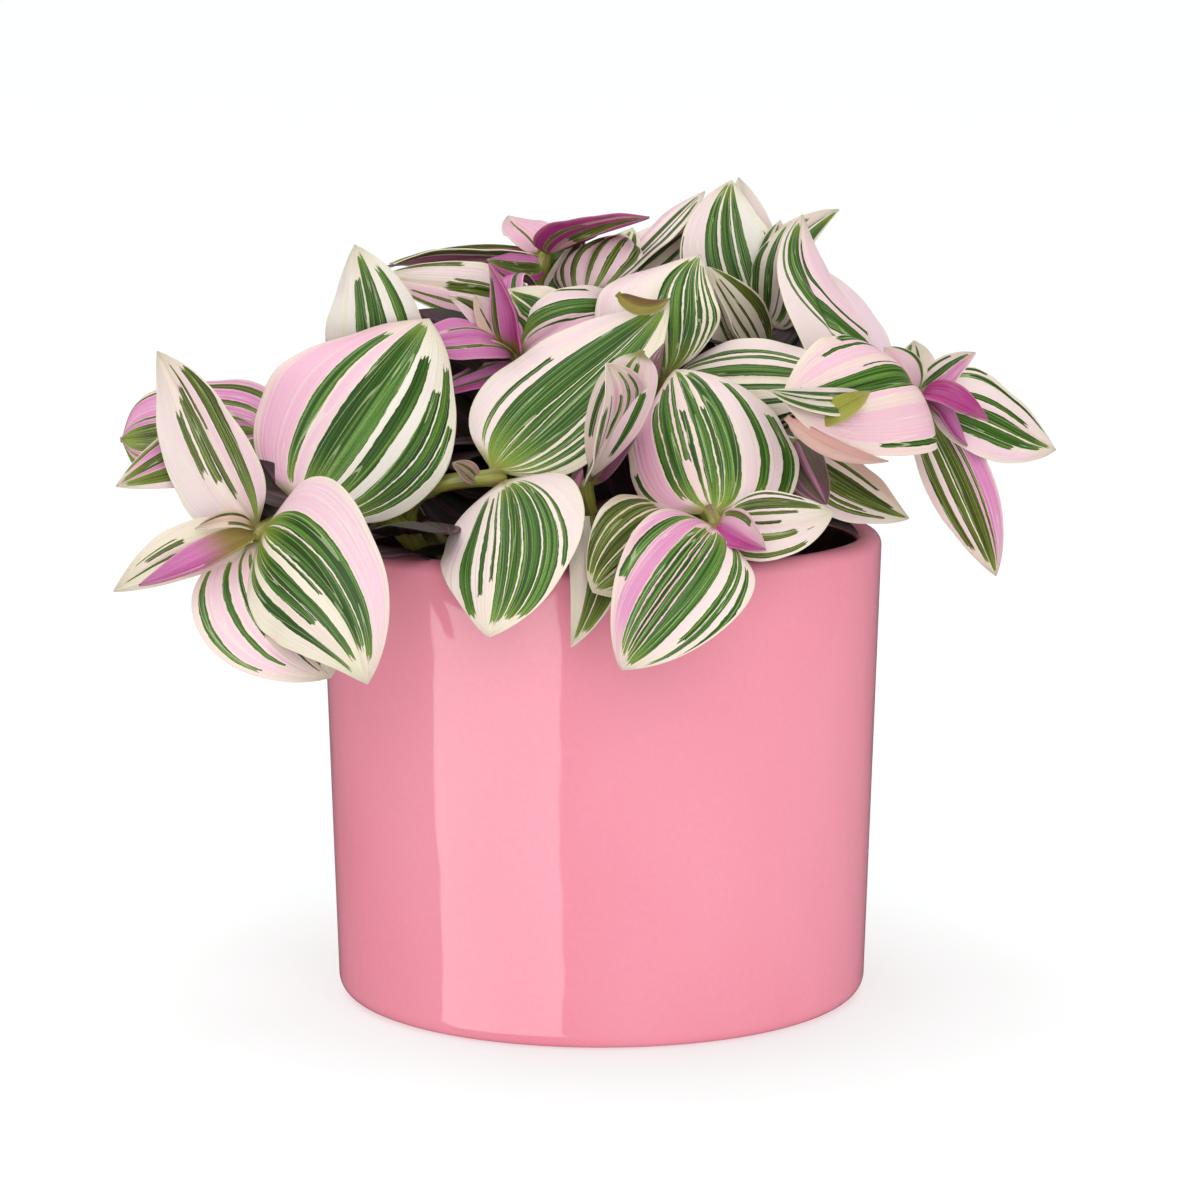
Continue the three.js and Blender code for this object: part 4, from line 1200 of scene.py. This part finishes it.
def random_stripes(rng):
    """A natural set of stripes: a wide pair by the midrib and narrower ones towards the margins.

    The numbers are as in STRIPES, in hundredths.
    """
    edge, stripes = FIRST_EDGE, []
    while edge < LAST_START:
        middle = 1 - abs(edge) / 100
        wide = rng.uniform(*STRIPE_WIDTHS) + MIDRIB_EXTRA * middle * rng.uniform(*MIDRIB_SHARES)
        start, end = rng.uniform(*STRIPE_STARTS), rng.uniform(*STRIPE_ENDS)
        stripes.append(f"{edge:.0f} {min(edge + wide, LAST_EDGE):.0f} {start:.0f} {end:.0f}")
        edge += wide + rng.uniform(*STRIPE_GAPS)
    grounds = [CREAM, BLUSH, PINK, BLUSH, WHITE]
    left, right = (grounds[k] for k in rng.integers(0, len(grounds), 2))
    return left, right, rng.uniform(*STRIPE_LEANS), 0, ", ".join(stripes[:MOST_STRIPES])


# ------------------------------------------------------------------ settings


def length_property(name, description, default):
    """A size setting in metres."""
    return FloatProperty(name=name, description=description, default=default, unit="LENGTH")


def colour_property(name, description, text):
    """A colour setting with an sRGB hex default."""
    return FloatVectorProperty(
        name=name,
        description=description,
        subtype="COLOR",
        min=0,
        max=1,
        default=from_hex(text),
    )


class PotSizes(bpy.types.PropertyGroup):
    """Sizes of the glazed pot, its liner and the soil."""

    height: length_property(
        "Height", "From the table to the top of the rim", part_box("pot")[1].z
    )
    rim_radius: length_property(
        "Rim radius", "Outside radius just below the rim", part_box("pot")[1].x
    )
    foot_radius: length_property(
        "Foot radius", "Outside radius just above the rounded foot", 0.0666
    )
    foot_round: length_property("Foot rounding", "Radius of the foot's outer edge", 0.0046)
    wall: length_property("Wall", "Thickness of the wall", 0.0064)
    floor: length_property("Floor", "Thickness of the floor", 0.008)
    liner_radius: length_property(
        "Liner radius", "Outside radius of the nursery pot below its lip", 0.0606
    )
    liner_top: length_property(
        "Liner top", "Height of the nursery pot's lip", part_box("nursery_pot")[1].z
    )
    soil_top: length_property(
        "Soil top", "Height of the soil's surface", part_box("potting_soil")[1].z
    )
    segments: IntProperty(name="Segments", description="Steps round the pot", default=224)


class LeafSizes(bpy.types.PropertyGroup):
    """Sizes that all leaves share."""

    leaf_thickness: length_property("Thickness", "Thickness along the midrib", 0.0006)
    leaf_keel: length_property("Keel", "Depth of the groove along the midrib", 0.0012)
    leaf_sink: length_property("Sink", "How far a leaf's base is let into its stem", 0.001)
    leaf_wave: FloatProperty(
        name="Wave",
        description="Height of the margin's waves as a share of the leaf's width",
        default=0.02,
    )
    leaf_stations: IntProperty(
        name="Stations", description="Points along a leaf", default=42
    )
    leaf_lanes: IntProperty(name="Lanes", description="Points across a leaf", default=37)


class PlantColours(bpy.types.PropertyGroup):
    """Colours of the finishes."""

    glaze: colour_property("Glaze", "The pot's pink", "#f698ab")
    glaze_deep: colour_property("Glaze, deep", "The pink where the glaze is thick", "#f18ca0")
    glaze_pale: colour_property("Glaze, pale", "The pink where the glaze is thin", "#f8a1b3")
    plastic: colour_property("Liner", "The nursery pot's plastic", "#2b2320")
    liner_glaze: colour_property("Inner glaze", "Dark glaze inside the pot", "#3a1613")
    soil: colour_property("Soil", "Moist potting mix", "#33241a")
    stem: colour_property("Stem", "The stems' green", "#96983c")
    stem_flush: colour_property("Stem flush", "Purple streaks on the stems", "#7d4a55")
    green: colour_property("Green", "The stripes' green", "#5b8934")
    green_deep: colour_property("Deep green", "Darker cells in the stripes", "#2a4b11")
    olive: colour_property("Olive", "The stripes' green on young leaves", "#728228")
    olive_deep: colour_property("Deep olive", "Darker cells in those stripes", "#3f4b16")
    green_young: colour_property("Young green", "The green at the base and the tip", "#98b43c")
    green_pale: colour_property("Pale line", "Thin pale lines in the stripes", "#c8d5a4")
    foot: colour_property("Young foot", "The lime green base of a young leaf", "#a59c30")
    flush: colour_property("Flush", "Pink patches on the ground", "#f1bfd0")
    margin: colour_property("Margin", "The cream margin and tip", "#f1e7c9")
    vein: colour_property("Vein", "Pale veins in the ground", "#f3ead9")
    underside: colour_property("Underside", "The purple underside", "#8d4a6b")
    underside_pale: colour_property("Underside, pale", "Its pinker bands", "#c08aa2")
    underside_green: colour_property("Underside, green", "Its dull green bands", "#6d6b4a")


class StudioSettings(bpy.types.PropertyGroup):
    """The studio round the plant."""

    sky: FloatProperty(name="Sky", description="Brightness of the white room", default=0.56)
    key: FloatProperty(
        name="Key light", description="The front light's power", default=31.0, unit="POWER"
    )
    top: FloatProperty(
        name="Top light", description="Strength of the soft light overhead", default=1.5
    )
    box: FloatProperty(
        name="Soft box",
        description="The power of the soft box that the glaze mirrors",
        default=50.0,
        unit="POWER",
    )


# ------------------------------------------------------------------ operators

# Camera and lights: places in metres, turns in degrees, sizes of soft lights as width and height.
LENS, SENSOR = 120.87, 36.0  # mm
LENS_SHIFT = -0.00125  # share of the picture's width
CLIP = (0.05, 100)
CAMERA_PLACE, CAMERA_TURN = (0, -1.0, 0.251), (81.35, 0, 0)
LIGHT_AIM = (0, 0, 0.1)
KEY_PLACE, KEY_SIZE = (0.5, -2.6, 1.3), (3.0, 2.4)
TOP_TURN, TOP_SPREAD = (-10, -10, 0), 70
BOX_PLACE, BOX_SIZE, BOX_TURN = (-0.91, -0.93, 0.1), (1.35, 2.6), (90, 0, -44.5)
SKY_IN_GLOSS = 0.15  # how bright the room is in the gloss, as a share of its light
FLOOR_GREY, FLOOR_PALE = "#bcc4c2", "#bfc7c5"
FLOOR_GLOW = 0.48
FLOOR_RINGS, FLOOR_STEPS = (0.05, 0.3, 1, 5, 20, 60), 48  # radii in metres, and points on each


def carry(piece, slot, *nodes):
    """The piece rides on the only body and stands for these CAD nodes."""
    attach(piece, "root")
    if nodes:
        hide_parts(*nodes)


class PLANT_OT_studio(bpy.types.Operator):
    """White room, pale floor, soft lights and the camera"""

    bl_idname = "plant.studio"
    bl_label = "Studio"

    def execute(self, context):
        settings = context.scene.studio_settings
        lens = bpy.data.cameras.new("camera")
        lens.lens, lens.sensor_width, lens.shift_x = LENS, SENSOR, LENS_SHIFT
        lens.clip_start, lens.clip_end = CLIP
        camera = self.add_object("camera", lens, CAMERA_PLACE, CAMERA_TURN)
        context.scene.camera = camera
        self.add_room(context.scene, settings.sky)
        context.scene.view_settings.view_transform = "Standard"

        key = self.add_area("key_light", KEY_PLACE, KEY_SIZE, settings.key)
        aim = Vector(LIGHT_AIM) - key.location
        key.rotation_euler = aim.to_track_quat("-Z", "Y").to_euler()
        top = bpy.data.lights.new("top_light", "SUN")
        top.energy, top.angle = settings.top, radians(TOP_SPREAD)
        self.add_object("top_light", top, (0, 0, 0), TOP_TURN)
        box = self.add_area("soft_box", BOX_PLACE, BOX_SIZE, settings.box, BOX_TURN)
        box.visible_diffuse = False
        self.add_floor()
        return {"FINISHED"}

    def add_object(self, name, data, place, turn):
        """A camera or lamp at a place, turned by these degrees."""
        item = bpy.data.objects.new(name, data)
        item.location = place
        item.rotation_euler = [radians(angle) for angle in turn]
        bpy.context.scene.collection.objects.link(item)
        return item

    def add_room(self, scene, level):
        """A white room, which is darker in the gloss than in the light that it gives.

        The camera sees it as white as the floor, so no horizon shows.
        """
        scene.world = bpy.data.worlds.new("white_room")
        scene.world.use_nodes = True
        tree = scene.world.node_tree
        sky = tree.nodes["Background"]
        sky.inputs["Color"].default_value = (1, 1, 1, 1)
        ray = add_node(tree, "LightPath")
        strength = level
        for kind, seen in (("Is Glossy Ray", level * SKY_IN_GLOSS), ("Is Camera Ray", 1.0)):
            strength = add_node(tree, "MapRange", {0: ray[kind], 3: strength, 4: seen})[0]
        tree.links.new(strength, sky.inputs["Strength"])

    def add_area(self, name, place, size, power, turn=(0, 0, 0)):
        """A rectangular soft light that the camera doesn't see."""
        light = bpy.data.lights.new(name, "AREA")
        light.shape = "RECTANGLE"
        light.size, light.size_y = size
        light.energy = power
        lamp = self.add_object(name, light, place, turn)
        lamp.visible_camera = False
        return lamp

    def add_floor(self):
        """A flat disc of matt white paper: radius times cosine and sine, out to the horizon."""
        material, tree, shader = new_material("matt_white_floor", 0.9, IOR=1.1)
        place = add_node(tree, "TexCoord")["Object"]
        paper = drawn_noise(tree, place, per_metre(33.3, 33.3, 33.3))
        stops = [(0.2, opaque(from_hex(FLOOR_GREY))), (0.8, opaque(from_hex(FLOOR_PALE)))]
        colour = add_node(tree, "ValToRGB", [paper], stops)[0]
        tree.links.new(colour, shader.inputs["Base Color"])
        shader.inputs["Emission Color"].default_value = (1, 1, 1, 1)
        shader.inputs["Emission Strength"].default_value = FLOOR_GLOW
        radius = np.array(FLOOR_RINGS)
        angle = np.linspace(0, 2 * np.pi, FLOOR_STEPS, endpoint=False)
        flat = [
            np.outer(radius, np.cos(angle)),
            np.outer(radius, np.sin(angle)),
            np.zeros((len(radius), FLOOR_STEPS)),
        ]
        quads = grid_quads(len(radius), FLOOR_STEPS, closed=True)[:, ::-1].tolist()
        quads.append(tuple(range(FLOOR_STEPS)))
        floor = make_piece("floor", np.stack(flat, -1).reshape(-1, 3), quads, [material])
        floor.visible_glossy = False


# The pot and its liner, in metres. The liner's inner wall starts LINER_CLEAR over its floor.
TOUCH_GAP = 0.0003
LIP_SHARED = 3  # points of the lip, at its inner end, where the dark glaze starts
FOOT_RECESS, FOOT_LIFT = 0.0012, 0.0004  # how high the recess and its edge lie over the table
RECESS_EDGE, FOOT_EDGE = 0.006, 0.004  # how far they lie inside the ring that the pot stands on
FLOOR_ROUND = 0.004
WALL_ROWS = 12
LINER_SEGMENTS = 160
LINER_TAPER, LINER_WALL, LINER_LIP = 0.003, 0.0012, 0.0016
LINER_ROUND, LIP_ROUND, INNER_ROUND, LINER_CLEAR = 0.003, 0.0006, 0.0005, 0.004
RIB_HEIGHT, RIB_TURNS, RIB_START, RIB_ROWS = 0.0003, 40, 0.02, 30
LIP_START = 0.8  # share of the lip's width at its lower edge
LIP_DROP, LIP_LOW, RIB_TOP = 0.0035, 0.0024, 0.006  # below the liner's top


class PLANT_OT_pot(bpy.types.Operator):
    """The glazed pot: a turned wall with a rounded lip and foot"""

    bl_idname = "plant.pot"
    bl_label = "Glazed pot"

    def execute(self, context):
        sizes, colours = context.scene.pot_sizes, context.scene.plant_colours
        lip = sizes.wall / 2
        top = sizes.height - lip
        foot = sizes.foot_radius - sizes.foot_round
        inner = sizes.foot_radius - sizes.wall - FLOOR_ROUND
        share = np.linspace(0, 1, WALL_ROWS + 2)[1:-1]
        radius = sizes.foot_radius + (sizes.rim_radius - sizes.foot_radius) * share
        height = sizes.foot_round + (top - sizes.foot_round) * share
        outside = list(zip(radius, height))
        clear = sizes.floor + FLOOR_ROUND
        inside = [(r - sizes.wall, z) for r, z in reversed(outside) if z > clear]
        profile = [
            (0, FOOT_RECESS),
            (foot - RECESS_EDGE, FOOT_RECESS),
            (foot - FOOT_EDGE, FOOT_LIFT),
            *arc(foot, sizes.foot_round, sizes.foot_round, -90, 0, 10),
            *outside,
            *arc(sizes.rim_radius - lip, top, lip, 0, 180, 16),
        ]
        inner_from = len(profile) - LIP_SHARED
        profile += [
            *inside,
            *arc(inner, clear, FLOOR_ROUND, 0, -90, 6),
            (0, sizes.floor),
        ]
        glazes = [glaze_material(colours), inner_glaze_material(colours)]
        pot = turned_piece("glazed_pot", profile, sizes.segments, glazes, inner_from)
        carry(pot, "pink_glaze", "pot")
        return {"FINISHED"}


class PLANT_OT_liner(bpy.types.Operator):
    """The thin nursery pot inside the glazed one"""

    bl_idname = "plant.liner"
    bl_label = "Nursery pot"

    def execute(self, context):
        sizes, colours = context.scene.pot_sizes, context.scene.plant_colours
        low = sizes.floor + TOUCH_GAP
        top, radius = sizes.liner_top, sizes.liner_radius
        base = radius - LINER_TAPER
        share = np.linspace(RIB_START, 1, RIB_ROWS)
        ribbed = base + LINER_TAPER * share + RIB_HEIGHT * np.sin(share * RIB_TURNS)
        outside = list(zip(ribbed, low + (top - RIB_TOP - low) * share))
        inside = [
            (r - LINER_WALL, z) for r, z in reversed(outside) if z > low + LINER_CLEAR
        ]
        lip = radius + LINER_LIP - LIP_ROUND
        profile = [
            (0, low),
            *arc(base - LINER_ROUND, low + LINER_ROUND, LINER_ROUND, -90, 0, 4),
            *outside,
            (radius + LINER_LIP * LIP_START, top - LIP_DROP),
            *arc(lip, top - LIP_LOW, LIP_ROUND, -40, 0, 3),
            *arc(lip, top - LIP_ROUND, LIP_ROUND, 0, 90, 3),
            *arc(radius - LINER_WALL + INNER_ROUND, top - INNER_ROUND, INNER_ROUND, 90, 180, 3),
            *inside,
            (base - LINER_WALL, low + LINER_WALL),
            (0, low + LINER_WALL),
        ]
        liner = turned_piece("grow_pot", profile, LINER_SEGMENTS, [plastic_material(colours)])
        carry(liner, "nursery_plastic", "nursery_pot")
        return {"FINISHED"}


# The soil, in metres.
SOIL_RINGS, SOIL_SPOKES = 60, 150
SOIL_CLEARANCE = 0.0022  # inside the liner's outside radius
SOIL_TAPER = 0.95  # of the plug's radius at its bottom
SOIL_CALM = 12  # the hills die away over a twelfth of the radius
SOIL_LIFT, SOIL_DIP = 0.002, 0.0005  # above the pot's floor, and below the soil's height
CRUMB_SEED, CRUMB_COUNT, CRUMB_SPREAD = 11, 700, 0.056
CRUMB_SIZES, CRUMB_SQUASH = (0.0008, 0.0028), 0.7


class PLANT_OT_soil(bpy.types.Operator):
    """The potting mix with its crumbs"""

    bl_idname = "plant.soil"
    bl_label = "Potting mix"

    def execute(self, context):
        sizes, colours = context.scene.pot_sizes, context.scene.plant_colours
        material = soil_material(colours)
        carry(self.surface(sizes, material), "potting_soil", "potting_soil")
        carry(self.crumbs(sizes, material), "potting_soil")
        return {"FINISHED"}

    def surface(self, sizes, material):
        """A turned plug whose top is a sum of sine hills over X and Y.

        The hills are 10 to 35 mm long and each is up to 1 mm high. They die away at the wall.
        """
        share = np.linspace(0, 1, SOIL_RINGS + 1)[1:]
        angle = np.linspace(0, 2 * np.pi, SOIL_SPOKES, endpoint=False)
        radius = sizes.liner_radius - SOIL_CLEARANCE
        r, a = np.meshgrid(share * radius, angle, indexing="ij")
        x, y = r * np.cos(a), r * np.sin(a)
        hills = (
            0.0010 * np.sin(210 * x + 1.3) * np.cos(180 * y)
            + 0.0007 * np.sin(520 * x + 3 * np.sin(260 * y))
            + 0.0006 * np.cos(610 * y + 2 * np.sin(330 * x))
        )
        calm = np.minimum(1, (1 - share)[:, None] * SOIL_CALM)
        top = sizes.soil_top - SOIL_DIP + hills * calm
        low = sizes.floor + SOIL_LIFT
        side = np.stack([x[-1] * SOIL_TAPER, y[-1] * SOIL_TAPER, np.full(SOIL_SPOKES, low)], -1)
        ends = [(0, 0, sizes.soil_top), (0, 0, low)]
        points = np.vstack([np.stack([x, y, top], -1).reshape(-1, 3), side, ends])
        # The rings run outwards and then down, so the faces are turned over to look outwards.
        faces = [face[::-1] for face in capped_faces(SOIL_RINGS + 1, SOIL_SPOKES)]
        return make_piece("soil_top", points, faces, [material])

    def crumbs(self, sizes, material):
        """Lumps of a few faces each: a squashed octahedron at a seeded random place and turn."""
        rng = np.random.default_rng(CRUMB_SEED)
        corners = [(1, 0, 0), (0, 1, 0), (-1, 0, 0), (0, -1, 0), (0, 0, 1), (0, 0, -1)]
        upper = [(0, 1, 4), (1, 2, 4), (2, 3, 4), (3, 0, 4)]
        sides = np.array([*upper, *((b, a, 5) for a, b, _ in upper)])
        angle = rng.uniform(0, 2 * np.pi, CRUMB_COUNT)
        radius = CRUMB_SPREAD * np.sqrt(rng.uniform(0, 1, CRUMB_COUNT))
        height = np.full(CRUMB_COUNT, sizes.soil_top)
        place = np.stack([radius * np.cos(angle), radius * np.sin(angle), height], -1)
        scale = rng.uniform(*CRUMB_SIZES, (CRUMB_COUNT, 1, 3)) * [1, 1, CRUMB_SQUASH]
        turn = rng.uniform(0, np.pi, CRUMB_COUNT)[:, None]
        lump = np.array(corners, float)[None] * scale
        x = lump[..., 0] * np.cos(turn) - lump[..., 1] * np.sin(turn)
        y = lump[..., 0] * np.sin(turn) + lump[..., 1] * np.cos(turn)
        points = (np.stack([x, y, lump[..., 2]], -1) + place[:, None]).reshape(-1, 3)
        first = len(corners) * np.arange(CRUMB_COUNT)
        faces = (sides[None] + first[:, None, None]).reshape(-1, 3)
        return make_piece("soil_crumbs", points, faces.tolist(), [material])


class PLANT_OT_stems(bpy.types.Operator):
    """The shoots, each with its side shoots"""

    bl_idname = "plant.stems"
    bl_label = "Shoots"

    def execute(self, context):
        material = stem_material(context.scene.plant_colours)
        for shoot, rows in SHOOTS.items():
            carry(stem_piece(f"shoot_{shoot}", rows, material), "stem", f"stem_{shoot}")
        for shoot, rows in BACK_SHOOTS.items():
            carry(stem_piece(f"shoot_{shoot}", rows, material), "stem")
        return {"FINISHED"}


STRIPE_SEED, FILLER_SEED, FIRST_GROUP = 5, 23, 100
GROUP_SEEDS = 10  # times a group's seed is the seed of its first leaf
FILLER_DRIFTS = (-25, 25)  # how far the stripes of one filling leaf lean away from its group's
SEED_STEP = 1.7  # between the noise patterns of two leaves


class PLANT_OT_leaves(bpy.types.Operator):
    """The striped leaves and the young ones at the shoots' ends"""

    bl_idname = "plant.leaves"
    bl_label = "Leaves"

    def execute(self, context):
        sizes, colours = context.scene.leaf_sizes, context.scene.plant_colours
        lower = underside_material(colours)
        # The underside darkened by the shade level, as painted shade.
        painted_shade_skin = underside_material(colours, "leaf_in_painted_shade", PAINTED_SHADE_LEVEL)
        rng = np.random.default_rng(STRIPE_SEED)
        groups = (
            (LEAVES, "leaf_{}_{}", "blade"),
            (BUD_LEAVES, "stem_{}", "young"),
            (EXTRA_LEAVES, "", "extra"),
        )
        listed = (
            (kind, node, shoot, leaf)
            for table, node, kind in groups
            for shoot, leaves in table.items()
            for leaf in leaves
        )
        for seed, (kind, node, shoot, leaf) in enumerate(listed, 1):
            name = f"{shoot}_{leaf[0]}".strip("_")
            spare = random_stripes(rng)
            left, right, lean, fan, stripes = STRIPES.get(name, spare)
            # Leaves named shade fill gaps deep inside: both their sides are darkened as painted
            # shade.
            if "shade" in name:
                skins = [painted_shade_skin, painted_shade_skin]
            else:
                skin = leaf_material(name, left, right, stripes, seed * SEED_STEP, colours)
                skins = [skin, skin if name in SAME_BELOW else lower]
            drift = (lean, fan, BOWS.get(name, 0))
            blades = [(leaf, SHOOTS.get(shoot), seed, drift)]
            nodes = [node.format(shoot, leaf[0])] if node else []
            carry(leaf_piece(f"{kind}_{name}", blades, skins, sizes), "leaf", *nodes)
        return {"FINISHED"}


class PLANT_OT_fillers(bpy.types.Operator):
    """The leaves at the back and deep inside the plant, one piece for each group"""

    bl_idname = "plant.fillers"
    bl_label = "Filling leaves"

    def execute(self, context):
        sizes, colours = context.scene.leaf_sizes, context.scene.plant_colours
        lower = underside_material(colours, "leaf_underside_behind")
        # The underside darkened by the shade level, as painted shade.
        painted_shade_skin = underside_material(colours, "old_leaf_deep_inside", PAINTED_SHADE_LEVEL)
        rng = np.random.default_rng(FILLER_SEED)
        for seed, (group, text) in enumerate(FILLERS.items(), FIRST_GROUP):
            left, right, lean, fan, stripes = random_stripes(rng)
            blades = []
            for k, entry in enumerate(text.split(",")):
                leaf, rows = filler_leaf(entry, rng)
                drift = (lean + rng.uniform(*FILLER_DRIFTS), fan, 0)
                blades.append((leaf, rows, seed * GROUP_SEEDS + k, drift))
            # The groups deep inside are darkened on both sides as painted shade.
            if group in PAINTED_SHADE_GROUPS:
                skins = [painted_shade_skin, painted_shade_skin]
            else:
                skin = leaf_material(group, left, right, stripes, seed * SEED_STEP, colours)
                skins = [skin, lower]
            carry(leaf_piece(f"fill_{group}", blades, skins, sizes), "leaf")
        return {"FINISHED"}


class PLANT_PT_panel(bpy.types.Panel):
    """Lists the operators and their settings"""

    bl_idname = "PLANT_PT_panel"
    bl_label = "Potted tradescantia"
    bl_space_type = "VIEW_3D"
    bl_region_type = "UI"
    bl_category = "Plant"

    def draw(self, context):
        for operator in OPERATORS:
            self.layout.operator(operator.bl_idname)
        for name, group in GROUPS.items():
            box = self.layout.box()
            for setting in group.__annotations__:
                box.prop(getattr(context.scene, name), setting)


OPERATORS = (
    PLANT_OT_studio,
    PLANT_OT_pot,
    PLANT_OT_liner,
    PLANT_OT_soil,
    PLANT_OT_stems,
    PLANT_OT_leaves,
    PLANT_OT_fillers,
)
GROUPS = {
    "pot_sizes": PotSizes,
    "leaf_sizes": LeafSizes,
    "plant_colours": PlantColours,
    "studio_settings": StudioSettings,
}


def register():
    """Adds the settings, the operators and the panel."""
    for group in (*GROUPS.values(), *OPERATORS, PLANT_PT_panel):
        bpy.utils.register_class(group)
    for name, group in GROUPS.items():
        setattr(bpy.types.Scene, name, PointerProperty(type=group))


def unregister():
    """Takes away what register added."""
    for name in GROUPS:
        delattr(bpy.types.Scene, name)
    for group in (PLANT_PT_panel, *reversed(OPERATORS), *reversed(GROUPS.values())):
        bpy.utils.unregister_class(group)


def main():
    """Builds the plant and its studio."""
    register()
    bpy.ops.plant.studio()
    bpy.ops.plant.pot()
    bpy.ops.plant.liner()
    bpy.ops.plant.soil()
    bpy.ops.plant.stems()
    bpy.ops.plant.leaves()
    bpy.ops.plant.fillers()


if __name__ == "__main__":
    main()
